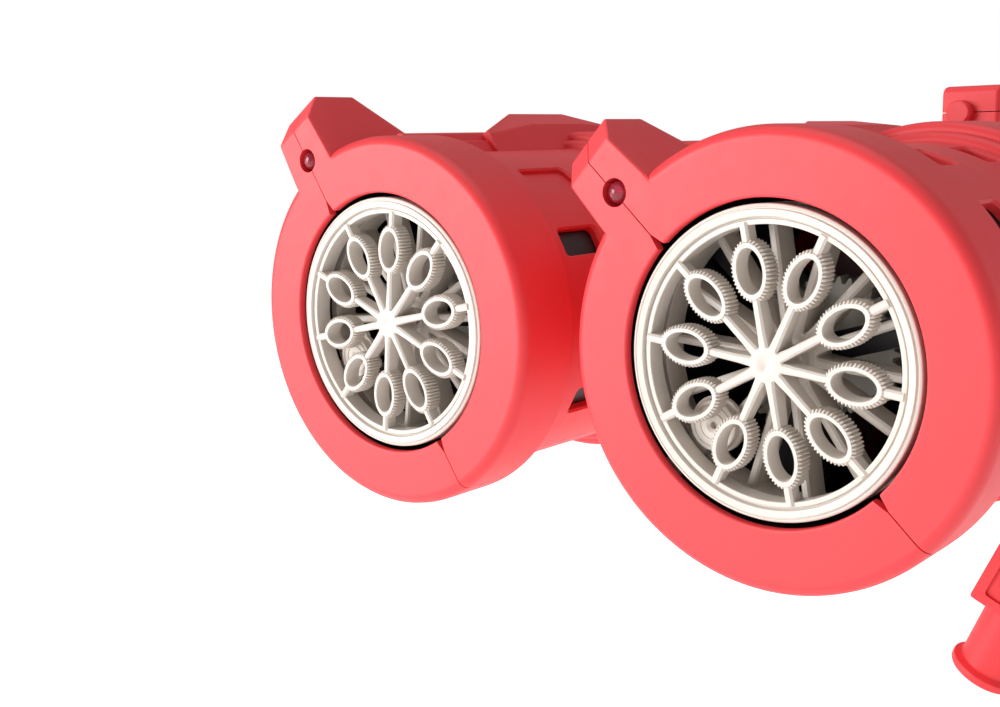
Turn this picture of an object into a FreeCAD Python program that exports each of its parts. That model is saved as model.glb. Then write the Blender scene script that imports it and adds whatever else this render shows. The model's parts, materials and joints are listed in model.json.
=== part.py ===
import FreeCAD, Part
import math
import os
import Sketcher
from FreeCAD import Placement, Rotation, Vector

# Twin-barrel bubble machine.
# Working frame while a piece is drawn: the origin is the centre of the wand wheel's front plane,
# +X right, +Y back along the barrel, +Z up through the light on top of the barrel.
# Each piece is then placed in the machine's own frame, whose origin is the middle of the hand grip.

SIZES = {
    # where things stand
    "grip_centre_y": 357.0, "grip_centre_z": -115.0, "barrel_spacing": 108.6,
    "left_roll": 33.2, "right_roll": 46.8,
    # wand wheel
    "wheel_radius": 32.0, "wheel_inner": 27.9, "rim_depth": 7.0, "wand_count": 10.0, "wand_depth": 4.4,
    "wand_centre": 18.9, "wand_long": 12.8, "wand_wide": 8.8, "loop_long": 9.0, "loop_wide": 5.5,
    "spoke_width": 1.6, "hub_radius": 4.5, "back_wheel_y": 9.5, "shaft_radius": 1.5, "shaft_back": 41.0,
    "shaft_seat": 2.0, "fin_end": 29.6, "fin_hub": 6.2, "fin_width": 1.9, "fin_count": 14.0,
    # casing
    "casing_front": -0.8, "casing_bore": 33.2, "face_radius": 44.4, "ring_radius": 47.2, "ring_back": 17.6,
    "body_radius": 42.5, "body_back": 80.0, "collar_radius": 47.5, "collar_back": 106.0, "wall": 2.4,
    "cuff_radius": 45.0, "cuff_front": 76.0,
    "spigot_radius": 30.0, "spigot_bore": 27.6, "lip_radius": 32.5, "lip_front": 114.4, "lip_back": 118.0,
    "liner_radius": 39.9, "liner_wall": 1.2, "liner_back": 76.0,
    # light pod on top of the ring, rail and sight block behind it
    "pod_base": 8.2, "pod_shoulder": 7.4, "pod_ridge": 6.8, "pod_face_top": 58.6, "pod_top": 65.2,
    "pod_back": 37.0, "led_height": 49.3, "led_radius": 2.5, "led_recess": 3.1,
    "rail_half": 21.0, "rail_top": 45.2, "block_half": 22.5, "block_top_half": 17.0, "block_top": 52.5,
    "block_front": 46.0, "block_ridge_front": 66.4, "block_ridge_back": 90.9, "block_back": 101.0,
    # drive and fan inside the barrel
    "gear_module": 0.8, "gear_teeth": 36.0, "pinion_teeth": 12.0, "gear_front": 29.6, "gear_width": 4.0,
    "gear_distance": 19.3, "tooth_play": 0.09, "shaft_play": 0.05, "motor_shaft": 1.0,
    "motor_radius": 10.0, "motor_front": 39.4, "motor_back": 62.0, "motor_flat": 15.0,
    "fan_blades": 7.0, "fan_hub": 6.0, "fan_tip": 31.4, "fan_front": 64.0, "fan_back": 76.0,
    "blade_chord": 13.0, "blade_thick": 1.2, "blade_pitch": 35.0,
    "fan_motor_radius": 12.0, "fan_motor_front": 80.0, "fan_motor_back": 93.0,
    # bubble liquid feed
    "feed_angle": -88.0, "feed_radius": 21.8, "pad_radius": 5.5, "pad_front": 5.7, "arm_front": 7.5,
    "arm_thick": 1.4, "tube_radius": 1.2, "feed_line": 34.9,
    # screws
    "screw_radius": 1.2, "screw_head": 2.6, "screw_length": 16.0, "screw_sink": 2.8,
    # common housing
    "house_front": 106.6, "house_half": 96.0, "house_side_back": 190.0, "waist_half": 48.0, "waist_y": 236.0,
    "tail_half": 26.0, "tail_y": 258.0, "tail_back": 437.0, "house_top": 44.0, "house_bottom": -44.0,
    "top_back": 200.0, "tail_top": 20.0, "tail_top_y": 240.0, "belly_back": 384.0, "tail_bottom": -34.0,
    "collar_ring": 34.5, "collar_ring_back": 114.0, "swivel_play": 0.08,
    # carry handle, grip, trigger
    "handle_half": 10.5, "handle_low": 46.0, "handle_high": 61.5, "handle_split": 52.0,
    "handle_front": 243.0, "handle_back": 362.0, "post_front": 252.0, "post_depth": 16.0,
    "pin_radius": 4.4, "pin_across": 3.0, "pin_proud": 4.0,
    "grip_half": 15.0, "grip_front": 316.0, "grip_back": 384.0, "grip_foot": -158.0,
    "trigger_half": 5.0, "trigger_travel": 6.0, "trigger_front": 308.0, "trigger_play": 0.4,
    # canted second grip beside the bottle: where its box's lower left corner is, its tilt and its sizes
    "cant": 24.5, "cant_x": 37.4, "cant_z": -99.5, "cant_front": 160.0, "cant_back": 190.0, "cant_width": 26.0,
    "cant_high": 84.0, "cant_neck": 3.2, "cant_shaft": 23.0, "cant_lip": 4.5, "cant_wall": 2.0,
    # battery bay, button
    "door_half": 22.0, "door_front": 392.0, "door_back": 433.0, "door_play": 0.4, "cell_radius": 7.1,
    "cell_length": 50.0, "cell_front": 379.0, "button_radius": 5.0, "button_travel": 2.5,
    # liquid bottle and pump
    "bottle_y": 150.0, "bottle_radius": 22.0, "bottle_foot": -89.0, "bottle_shoulder": -64.0,
    "neck_radius": 13.6, "neck_top": -46.0, "bottle_wall": 1.5, "socket_radius": 17.0, "socket_foot": -58.0,
}

doc = FreeCAD.newDocument("BubbleMachine")
sheet = doc.addObject("Spreadsheet::Sheet", "Sizes")
for row, (alias, value) in enumerate(SIZES.items(), start=1):
    sheet.set(f"A{row}", alias)
    sheet.set(f"B{row}", str(value))
    sheet.setAlias(f"B{row}", alias)
doc.recompute()

pieces = []


def size(alias):
    """A driving dimension, read from the sheet."""
    return float(sheet.get(alias))


def formula(text):
    """A formula in sheet aliases, with each alias written as the sheet's own."""
    words = []
    for word in text.replace("(", "( ").replace(")", " )").split():
        words.append(f"Sizes.{word}" if word in SIZES else word)
    return " ".join(words)


def bind(item, **formulas):
    for name, text in formulas.items():
        item.setExpression(name.replace("__", "."), formula(str(text)))
    return item


def new_name(name):
    return "shape_" + name


def box(name, width, depth, height, x=0, y=0, z=0):
    """A block centred on x, that starts at y and z."""
    item = doc.addObject("Part::Box", new_name(name))
    bind(item, Length=width, Width=depth, Height=height)
    return bind(item, Placement__Base__x=f"( {x} ) - ( {width} ) / 2", Placement__Base__y=y, Placement__Base__z=z)


def rod(name, radius, length, x=0, y=0, z=0, along="Y"):
    """A cylinder that starts at x, y, z and runs along an axis."""
    item = doc.addObject("Part::Cylinder", new_name(name))
    turns = {
        "X": Rotation(Vector(0, 1, 0), 90),
        "Y": Rotation(Vector(1, 0, 0), -90),
        "Z": Rotation(),
    }
    item.Placement = Placement(Vector(), turns[along])
    bind(item, Radius=radius, Height=length)
    return bind(item, Placement__Base__x=x, Placement__Base__y=y, Placement__Base__z=z)


def joined(name, shapes):
    item = doc.addObject("Part::MultiFuse", new_name(name))
    item.Shapes = shapes
    return item


def less(name, base, tools):
    """The base with every tool taken away."""
    item = doc.addObject("Part::Cut", new_name(name))
    item.Base = base
    item.Tool = tools[0] if len(tools) == 1 else joined(name + "_tools", tools)
    return item


def shared(name, first, second):
    item = doc.addObject("Part::Common", new_name(name))
    item.Base = first
    item.Tool = second
    return item


def group(name, shapes):
    """Separate solids that make one node."""
    item = doc.addObject("Part::Compound", new_name(name))
    item.Links = shapes
    return item


def draw(sketch, points):
    """A closed outline whose corners are held at formulas."""
    count = len(points)
    first = sketch.GeometryCount
    for number in range(count):
        start = 2 * math.pi * number / count
        end = 2 * math.pi * (number + 1) / count
        a = Vector(50 * math.cos(start), 50 * math.sin(start), 0)
        b = Vector(50 * math.cos(end), 50 * math.sin(end), 0)
        sketch.addGeometry(Part.LineSegment(a, b), False)
    for number in range(count):
        following = first + (number + 1) % count
        sketch.addConstraint(Sketcher.Constraint("Coincident", first + number, 2, following, 1))
    for number, (across, up) in enumerate(points):
        for kind, text in (("DistanceX", across), ("DistanceY", up)):
            place = sketch.addConstraint(Sketcher.Constraint(kind, first + number, 1, 1.0))
            sketch.setExpression(f"Constraints[{place}]", formula(str(text)))
    return sketch


VIEWS = {
    # drawn as seen from the front, from the right side and from above
    "front": Rotation(Vector(1, 0, 0), 90),
    "side": Rotation(Vector(1, 1, 1), 120),
    "plan": Rotation(),
}


def prism(name, view, points, start, length):
    """An outline drawn in one view and extruded square to it."""
    sketch = draw(doc.addObject("Sketcher::SketchObject", new_name(name + "_outline")), points)
    sketch.Placement = Placement(Vector(), VIEWS[view])
    item = doc.addObject("Part::Extrusion", new_name(name))
    item.Base = sketch
    item.DirMode = "Custom"
    item.Dir = {"front": Vector(0, 1, 0), "side": Vector(1, 0, 0), "plan": Vector(0, 0, 1)}[view]
    item.Solid = True
    bind(item, LengthFwd=length)
    axis = {"front": "y", "side": "x", "plan": "z"}[view]
    item.setExpression("Placement.Base." + axis, formula(str(start)))
    return item


def turned(name, points, axis="Y"):
    """An outline of (radius, distance along the axis) turned a full circle."""
    sketch = draw(doc.addObject("Sketcher::SketchObject", new_name(name + "_outline")), points)
    if axis == "Z":
        sketch.Placement = Placement(Vector(), VIEWS["front"])
    item = doc.addObject("Part::Revolution", new_name(name))
    item.Source = sketch
    item.Axis = Vector(0, 1, 0) if axis == "Y" else Vector(0, 0, 1)
    item.Angle = 360
    item.Solid = True
    return item


def around(item, angle):
    """The item's placement turned about the barrel's own axis."""
    item.Placement = Placement(Vector(), Rotation(Vector(0, 1, 0), angle)).multiply(item.Placement)
    return item


def keep(item, label, place):
    """Names a finished sub-part and puts it where it belongs."""
    if item.TypeId in ("Part::Box", "Part::Cylinder"):
        item = group(label + "_whole", [item])
    item.Label = label
    item.Placement = place
    pieces.append(item)
    return item


HOUSE = Placement(Vector(0, -size("grip_centre_y"), -size("grip_centre_z")), Rotation())


def barrel_place(side):
    sign = {"left": -1, "right": 1}[side]
    shift = Vector(sign * size("barrel_spacing") / 2, 0, 0)
    roll = Rotation(Vector(0, 1, 0), -size(side + "_roll"))
    return HOUSE.multiply(Placement(shift, roll))


def mirrored_outline(half):
    """Right-hand points from the bottom up, with their mirror images back down."""
    return half + [(f"0 - ( {across} )", up) for across, up in reversed(half)]


# ---------------------------------------------------------------- barrel casing


def casing_shell():
    """Ring, body, rear collar and the spigot that turns in the housing."""
    return turned("casing_shell", [
        ("casing_bore", "casing_front"),
        ("face_radius", "casing_front"),
        ("ring_radius", "casing_front + 2.8"),
        ("ring_radius", "ring_back"),
        ("body_radius", "ring_back"),
        ("body_radius", "cuff_front"),
        ("cuff_radius", "cuff_front + 0.8"),
        ("cuff_radius", "body_back"),
        ("collar_radius", "body_back"),
        ("collar_radius", "collar_back"),
        ("spigot_radius", "collar_back"),
        ("spigot_radius", "lip_front"),
        ("lip_radius", "lip_front"),
        ("lip_radius", "lip_back"),
        ("spigot_bore", "lip_back"),
        ("spigot_bore", "collar_back - wall"),
        ("collar_radius - wall", "collar_back - wall"),
        ("collar_radius - wall", "body_back + wall"),
        ("body_radius - wall", "body_back + wall"),
        ("body_radius - wall", "ring_back - wall"),
        ("ring_radius - wall", "ring_back - wall"),
        ("ring_radius - wall", "casing_front + wall"),
        ("casing_bore", "casing_front + wall"),
    ])


def light_pod():
    """The hexagonal pod that stands on the ring and holds the light."""
    front = prism("pod_front", "front", mirrored_outline([
        ("pod_base", "body_radius - 1"),
        ("pod_shoulder", "pod_top - 4"),
        ("pod_ridge", "pod_top"),
    ]), "casing_front", "pod_back - casing_front")
    profile = prism("pod_profile", "side", [
        ("casing_front", "body_radius - 1"),
        ("casing_front", "pod_face_top"),
        ("5.4", "pod_top"),
        ("18.6", "pod_top"),
        ("pod_back", "body_radius + 6"),
        ("pod_back", "body_radius - 1"),
    ], "0 - pod_base", "2 * pod_base")
    return shared("pod", front, profile)


def sight_rail():
    return prism("rail", "front", mirrored_outline([
        ("rail_half", "body_radius - 9"),
        ("rail_half", "rail_top - 2"),
        ("rail_half - 2", "rail_top"),
    ]), "ring_back - 2", "body_back - ring_back + 4")


def sight_block():
    front = prism("block_front_view", "front", mirrored_outline([
        ("block_half", "body_radius - 9"),
        ("block_half", "block_top - 6"),
        ("block_top_half", "block_top"),
    ]), "block_front", "block_back - block_front")
    profile = prism("block_profile", "side", [
        ("block_front", "body_radius - 9"),
        ("block_front", "rail_top - 2"),
        ("block_ridge_front", "block_top"),
        ("block_ridge_back", "block_top"),
        ("block_back", "collar_radius - 2"),
        ("block_back", "body_radius - 9"),
    ], "0 - block_half", "2 * block_half")
    return shared("block", front, profile)


# Casing screws run across the seam. Each row is (distance back, height).
CASING_SCREWS = (("9", "0 - 43"), ("72", "47"), ("87", "47"), ("93", "0 - 42.4"))

# Windows through the body on each side: (first angle from the light, sweep, front, back).
WINDOWS = ((60, 13, 30, 48), (60, 13, 64, 74), (90, 10, 26, 41), (90, 10, 50, 74), (120, 14, 30, 74),
           (148, 10, 30, 74))


def casing_windows():
    tools = []
    for number, (angle, sweep, front, back) in enumerate(WINDOWS):
        for hand, start in (("right", angle), ("left", -angle - sweep)):
            tool = rod(f"window_{hand}_{number}", "pod_top", back - front, y=front)
            bind(tool, Angle=sweep)
            tools.append(around(tool, start - 90))
    return tools


def casing_whole():
    lugs = [
        box("front_lug", "screw_length", "12", "5.2", y="3", z="0 - 45.6"),
        box("rear_lug", "screw_length", "10", "5.6", y="88", z="0 - 45.6"),
    ]
    solid = joined("casing_solid", [casing_shell(), light_pod(), sight_rail(), sight_block()] + lugs)
    tools = [rod("casing_inside", "body_radius - wall", "collar_back - ring_back", y="ring_back - wall")]
    tools.append(rod("led_recess", "led_recess", "4", y="casing_front", z="led_height"))
    tools.append(rod("led_hole", "led_radius", "8", y="casing_front", z="led_height"))
    tools.append(rod("led_seat", "led_radius + 0.4", "5", y="casing_front + 8", z="led_height"))
    for number, (back, height) in enumerate(CASING_SCREWS):
        tools.append(rod(f"screw_hole_{number}", "screw_radius", "screw_length", "0 - screw_length / 2", back,
                         height, "X"))
        tools.append(rod(f"screw_sink_{number}", "screw_sink", "block_half", "screw_length / 2", back, height,
                         "X"))
    return less("casing_whole", solid, tools + casing_windows())


def casing_halves(side, whole):
    """The casing comes apart along the seam through the light."""
    span = "2 * pod_top"
    for label, middle in (("outer_shell", "pod_top"), ("inner_shell", "0 - pod_top")):
        room = box(f"{side}_{label}_room", span, "lip_back + 10", span, middle, "casing_front - 5",
                   "0 - pod_top - 1")
        keep(shared(f"{side}_{label}", whole, room), f"{side}_{label}", barrel_place(side))


def casing_screws(side):
    screws = []
    for number, (back, height) in enumerate(CASING_SCREWS):
        shank = rod(f"{side}_shank_{number}", "screw_radius", "screw_length", "0 - screw_length / 2", back, height,
                    "X")
        head = rod(f"{side}_head_{number}", "screw_head", "2", "screw_length / 2", back, height, "X")
        screws.append(joined(f"{side}_screw_{number}", [shank, head]))
    keep(group(f"{side}_casing_screws", screws), f"{side}_casing_screws", barrel_place(side))


def led(side):
    dome = doc.addObject("Part::Sphere", new_name(side + "_led_dome"))
    bind(dome, Radius="led_radius", Placement__Base__y="1.4", Placement__Base__z="led_height")
    stem = rod(side + "_led_stem", "led_radius", "casing_front + 8 - 1.4 + 2", y="1.4", z="led_height")
    foot = rod(side + "_led_foot", "led_radius + 0.4", "1.2", y="casing_front + 8", z="led_height")
    keep(joined(side + "_led", [dome, stem, foot]), side + "_led", barrel_place(side))


def liner(side):
    keep(turned(side + "_liner", [
        ("liner_radius", "2"),
        ("liner_radius", "liner_back"),
        ("liner_radius - liner_wall", "liner_back"),
        ("liner_radius - liner_wall", "2"),
    ]), side + "_liner", barrel_place(side))


# ---------------------------------------------------------------- wand wheels and drive


def origin_of(body, role):
    return [item for item in body.Origin.OriginFeatures if item.Role == role][0]


def body_sketch(body, name, depth):
    """A sketch seen from the front, in the plane at a distance back."""
    sketch = body.newObject("Sketcher::SketchObject", new_name(name))
    sketch.AttachmentSupport = [(origin_of(body, "XZ_Plane"), "")]
    sketch.MapMode = "FlatFace"
    sketch.setExpression(".AttachmentOffset.Base.z", formula(f"0 - ( {depth} )"))
    return sketch


def circle(sketch, radius, across=None, up=None):
    """A circle whose radius, and centre when given, are formulas."""
    item = sketch.addGeometry(Part.Circle(Vector(0, 1 if up else 0, 0), Vector(0, 0, 1), 5), False)
    place = sketch.addConstraint(Sketcher.Constraint("Radius", item, 5))
    sketch.setExpression(f"Constraints[{place}]", formula(radius))
    if across is None:
        sketch.addConstraint(Sketcher.Constraint("Coincident", item, 3, -1, 1))
        return
    for kind, text in (("DistanceX", across), ("DistanceY", up)):
        place = sketch.addConstraint(Sketcher.Constraint(kind, item, 3, 1.0))
        sketch.setExpression(f"Constraints[{place}]", formula(text))


def ellipse(sketch, long_axis, short_axis, height):
    """An upright ellipse centred on the sketch's vertical axis."""
    centre = Vector(0, 20, 0)
    item = sketch.addGeometry(Part.Ellipse(Vector(0, 26, 0), Vector(3, 20, 0), centre), False)
    sketch.exposeInternalGeometry(item)
    sketch.addConstraint(Sketcher.Constraint("PointOnObject", item, 3, -2))
    sketch.addConstraint(Sketcher.Constraint("Vertical", item + 1))
    place = sketch.addConstraint(Sketcher.Constraint("DistanceY", item, 3, 20.0))
    sketch.setExpression(f"Constraints[{place}]", formula(height))
    for line, text, start in ((item + 1, long_axis, 12.0), (item + 2, short_axis, 6.0)):
        place = sketch.addConstraint(Sketcher.Constraint("Distance", line, start))
        sketch.setExpression(f"Constraints[{place}]", formula(text))


def pad(body, sketch, length):
    item = body.newObject("PartDesign::Pad", sketch.Name + "_pad")
    item.Profile = sketch
    item.Reversed = True
    bind(item, Length=length)
    return item


def ring_of(body, originals, count):
    item = body.newObject("PartDesign::PolarPattern", body.Name + "_pattern")
    item.Originals = originals
    item.Axis = (origin_of(body, "Y_Axis"), [""])
    item.Angle = 360
    bind(item, Occurrences=count)
    body.Tip = item
    return item


def wand_wheel(label, place):
    """A rim with a ring of oval wands, each on a spoke from the hub and a stub to the rim."""
    front = "0"
    body = doc.addObject("PartDesign::Body", new_name(label))
    rim = body_sketch(body, label + "_rim", front)
    circle(rim, "wheel_radius")
    circle(rim, "wheel_inner")
    pad(body, rim, "rim_depth")
    hub = body_sketch(body, label + "_hub", front)
    circle(hub, "hub_radius")
    pad(body, hub, "rim_depth")
    loop = body_sketch(body, label + "_loop", front)
    ellipse(loop, "wand_long", "wand_wide", "wand_centre")
    ellipse(loop, "loop_long", "loop_wide", "wand_centre")
    loops = pad(body, loop, "wand_depth")
    arms = body_sketch(body, label + "_arms", front)
    for low, high in (("hub_radius - 0.5", "wand_centre - loop_long / 2 - 1"),
                      ("wand_centre + loop_long / 2 + 1", "wheel_inner + 0.5")):
        draw(arms, [("spoke_width / 2", low), ("spoke_width / 2", high), ("0 - spoke_width / 2", high),
                    ("0 - spoke_width / 2", low)])
    spokes = pad(body, arms, "wand_depth * 0.8")
    ring_of(body, [loops, spokes], "wand_count")
    bore = body_sketch(body, label + "_bore", "shaft_seat")
    circle(bore, "shaft_radius")
    pocket = body.newObject("PartDesign::Pocket", bore.Name + "_pocket")
    pocket.Profile = bore
    bind(pocket, Length="rim_depth")
    body.Tip = pocket
    keep(body, label, place)


def fin_wheel(label, place):
    """The wheel behind the wands: a rim and a bored hub joined by deep straight fins."""
    front = "back_wheel_y"
    body = doc.addObject("PartDesign::Body", new_name(label))
    rim = body_sketch(body, label + "_rim", front)
    circle(rim, "wheel_radius")
    circle(rim, "fin_end")
    pad(body, rim, "rim_depth")
    hub = body_sketch(body, label + "_hub", front)
    circle(hub, "fin_hub")
    circle(hub, "shaft_radius")
    pad(body, hub, "rim_depth")
    arms = body_sketch(body, label + "_fins", front)
    draw(arms, [("fin_width / 2", "fin_hub - 0.5"), ("fin_width / 2", "fin_end + 0.5"),
                ("0 - fin_width / 2", "fin_end + 0.5"), ("0 - fin_width / 2", "fin_hub - 0.5")])
    fins = pad(body, arms, "rim_depth")
    ring_of(body, [fins], "fin_count")
    half_pitch = Placement(Vector(), Rotation(Vector(0, 1, 0), 180 / size("fin_count")))
    keep(body, label, place.multiply(half_pitch))


def spur_gear(label, teeth, front, width, place, stub=None):
    """A spur gear with straight flanks, on a shaft of its own when it has a stub."""
    body = doc.addObject("PartDesign::Body", new_name(label))
    root = body_sketch(body, label + "_root", front)
    pitch_radius = f"gear_module * {teeth} / 2"
    circle(root, f"{pitch_radius} - gear_module * 1.15")
    if stub is None:
        circle(root, "shaft_radius")
    pad(body, root, width)
    if stub is not None:
        shaft = body_sketch(body, label + "_shaft", front)
        circle(shaft, "motor_shaft")
        pad(body, shaft, stub)
    tooth = body_sketch(body, label + "_tooth", front)
    half = "gear_module * 0.785 - tooth_play"
    draw(tooth, [
        (f"{half} + gear_module * 0.36", f"{pitch_radius} - gear_module * 1.3"),
        (half, pitch_radius),
        (f"{half} - gear_module * 0.36", f"{pitch_radius} + gear_module * 0.8"),
        (f"0 - ( {half} - gear_module * 0.36 )", f"{pitch_radius} + gear_module * 0.8"),
        (f"0 - ( {half} )", pitch_radius),
        (f"0 - ( {half} + gear_module * 0.36 )", f"{pitch_radius} - gear_module * 1.3"),
    ])
    ring_of(body, [pad(body, tooth, width)], teeth)
    return keep(body, label, place)


def spider(name, front, thick, reach, hub, extra=()):
    """A plate of three arms that reach from a hub to the barrel's wall."""
    parts = [rod(name + "_hub", hub, thick, y=front)]
    for number in range(3):
        arm = group(f"{name}_turned_arm_{number}", [box(f"{name}_arm_{number}", "6", thick, reach, y=front)])
        parts.append(around(arm, 120 * number))
    return joined(name + "_solid", parts + list(extra))


def drive(side):
    """Shaft, gears, motor and the two plates that carry them."""
    place = barrel_place(side)
    keep(rod(side + "_wheel_shaft", "shaft_radius", "shaft_back - shaft_seat", y="shaft_seat"), side + "_wheel_shaft", place)
    gap_turn = Placement(Vector(), Rotation(Vector(0, 1, 0), -90))
    spur_gear(side + "_wheel_gear", "gear_teeth", "gear_front", "gear_width", place.multiply(gap_turn))
    pinion_shift = Placement(Vector(-size("gear_distance"), 0, 0), Rotation(Vector(0, 1, 0), 90 + 15))
    spur_gear(side + "_drive_pinion", "pinion_teeth", "gear_front - 0.5", "gear_width + 1",
              place.multiply(pinion_shift), "16")
    reach = "liner_radius - liner_wall - 0.6"
    front_plate = spider(side + "_bearing", "20", "4", reach, "4.2")
    hole = rod(side + "_bearing_hole", "shaft_radius + shaft_play", "20", y="10")
    keep(less(side + "_bearing_plate", front_plate, [hole]), side + "_bearing_plate", place)
    lobe = rod(side + "_lobe", "11.4", "2.4", "0 - gear_distance", "motor_front - 2.4")
    rear_plate = spider(side + "_mount", "motor_front - 2.4", "2.4", reach, "6", [lobe])
    holes = [
        rod(side + "_mount_hole", "shaft_radius + shaft_play", "20", y="30"),
        rod(side + "_nose_hole", "3", "20", "0 - gear_distance", "30"),
    ]
    keep(less(side + "_motor_plate", rear_plate, holes), side + "_motor_plate", place)
    can = rod(side + "_can", "motor_radius", "motor_back - motor_front", "0 - gear_distance", "motor_front")
    flats = box(side + "_flats", "motor_radius * 2", "motor_back - motor_front", "motor_flat", "0 - gear_distance",
                "motor_front", "0 - motor_flat / 2")
    nose = rod(side + "_nose", "3", "2", "0 - gear_distance", "motor_front - 2")
    motor = joined(side + "_motor_solid", [shared(side + "_can_flat", can, flats), nose])
    bore = rod(side + "_motor_bore", "motor_shaft + shaft_play", "20", "0 - gear_distance", "gear_front - 1")
    keep(less(side + "_wheel_motor", motor, [bore]), side + "_wheel_motor", place)


def fan(side):
    place = barrel_place(side)
    parts = [
        rod(side + "_fan_hub", "fan_hub", "fan_back - fan_front", y="fan_front"),
        rod(side + "_fan_shaft", "motor_shaft", "8", y="fan_back"),
    ]
    middle = Vector(0, (size("fan_front") + size("fan_back")) / 2, 0)
    corner = Vector(-size("blade_thick") / 2, -size("blade_chord") / 2, size("fan_hub") - 1)
    for number in range(round(size("fan_blades"))):
        blade = doc.addObject("Part::Box", new_name(f"{side}_blade_{number}"))
        bind(blade, Length="blade_thick", Width="blade_chord", Height="fan_tip - fan_hub + 1")
        pitched = Placement(middle, Rotation(Vector(0, 0, 1), size("blade_pitch")))
        blade.Placement = pitched.multiply(Placement(corner, Rotation()))
        parts.append(around(blade, number * 360 / size("fan_blades")))
    keep(joined(side + "_fan", parts), side + "_fan", place)
    plate = spider(side + "_fan_arms", "fan_motor_front - 2.4", "2.4", "body_radius - wall - 0.2", "13.5")
    hole = rod(side + "_fan_hole", "2", "20", y="70")
    keep(less(side + "_fan_bracket", plate, [hole]), side + "_fan_bracket", place)
    can = rod(side + "_fan_can", "fan_motor_radius", "fan_motor_back - fan_motor_front", y="fan_motor_front")
    bore = rod(side + "_fan_bore", "motor_shaft + shaft_play", "10", y="fan_motor_front - 5")
    keep(less(side + "_fan_motor", can, [bore]), side + "_fan_motor", place)


# ---------------------------------------------------------------- bubble liquid feed


def pipe(points, radius, bend):
    """A round bar along straight runs joined by tangent arcs."""
    edges = []
    start = points[0]
    for before, corner, after in zip(points, points[1:], points[2:]):
        into = (corner - before).normalize()
        out = (after - corner).normalize()
        turn = into.getAngle(out)
        cutback = bend * math.tan(turn / 2)
        enter = corner - into * cutback
        leave = corner + out * cutback
        inward = (out - into).normalize()
        middle = corner + inward * (bend / math.cos(turn / 2) - bend)
        edges.append(Part.LineSegment(start, enter).toShape())
        edges.append(Part.Arc(enter, middle, leave).toShape())
        start = leave
    edges.append(Part.LineSegment(start, points[-1]).toShape())
    path = Part.Wire(edges)
    section = Part.Wire([Part.makeCircle(radius, points[0], points[1] - points[0])])
    return path.makePipeShell([section], True, False)


def pipe_piece(name, shapes):
    item = doc.addObject("Part::Feature", new_name(name))
    item.Shape = shapes[0] if len(shapes) == 1 else Part.makeCompound(shapes)
    return item


def feed(side):
    """A pad that wets the wands, on an arm that reaches in between the two wheels."""
    turn = Placement(Vector(), Rotation(Vector(0, 1, 0), size("feed_angle")))
    place = barrel_place(side).multiply(turn)
    disc = rod(side + "_pad_disc", "pad_radius", "arm_front - pad_front", y="pad_front", z="feed_radius")
    hole = rod(side + "_pad_hole", "0.8", "1", y="pad_front", z="feed_radius")
    keep(less(side + "_feed_pad", disc, [hole]), side + "_feed_pad", place)
    end = rod(side + "_arm_end", "pad_radius + 0.9", "arm_thick", y="arm_front", z="feed_radius")
    reach = "liner_radius - liner_wall - 0.5"
    bar = box(side + "_arm_bar", "5", "arm_thick", f"{reach} - feed_radius", y="arm_front", z="feed_radius")
    keep(joined(side + "_feed_arm", [end, bar]), side + "_feed_arm", place)
    line = size("feed_line")
    route = [
        Vector(0, size("arm_front") + size("arm_thick"), line),
        Vector(0, 84, line),
        Vector(0, 106, 0),
        Vector(0, size("lip_back"), 0),
    ]
    tube = pipe_piece(side + "_feed_tube", [pipe(route, size("tube_radius"), 12)])
    keep(tube, side + "_feed_tube", place)


def barrel(side, whole, phase):
    """Everything inside one barrel. The phase turns its wand wheels."""
    casing_halves(side, whole)
    casing_screws(side)
    led(side)
    liner(side)
    turn = Placement(Vector(), Rotation(Vector(0, 1, 0), phase))
    place = barrel_place(side).multiply(turn)
    wand_wheel(side + "_front_wheel", place)
    fin_wheel(side + "_back_wheel", place)
    drive(side)
    fan(side)
    feed(side)


# ---------------------------------------------------------------- common housing


def house_solid(name, inset):
    """The housing's outer form, or its hollow when inset by the wall."""
    plan = prism(name + "_plan", "plan", mirrored_outline([
        (f"house_half - {inset}", f"house_front + {inset}"),
        (f"house_half - {inset}", f"house_side_back - {inset} * 0.3"),
        (f"waist_half - {inset} * 0.7", f"waist_y - {inset}"),
        (f"tail_half - {inset}", f"tail_y - {inset} * 0.5"),
        (f"tail_half - {inset}", f"tail_back - {inset}"),
    ]), f"house_bottom + {inset}", f"house_top - house_bottom - 2 * {inset}")
    profile = prism(name + "_profile", "side", [
        (f"house_front + {inset}", f"house_bottom + {inset}"),
        (f"house_front + {inset}", f"house_top - {inset}"),
        (f"top_back - {inset} * 0.3", f"house_top - {inset}"),
        (f"tail_top_y - {inset} * 0.3", f"tail_top - {inset}"),
        (f"tail_back - {inset}", f"tail_top - {inset}"),
        (f"tail_back - {inset}", f"tail_bottom + {inset}"),
        (f"belly_back + 6 - {inset} * 0.5", f"tail_bottom + {inset}"),
        (f"belly_back - {inset} * 0.5", f"house_bottom + {inset}"),
    ], "0 - house_half", "2 * house_half")
    return shared(name, plan, profile)


# Housing screws go up from below: (distance right, distance back).
HOUSE_SCREWS = ((84, 128), (-84, 128), (34, 190), (-34, 190))


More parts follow.
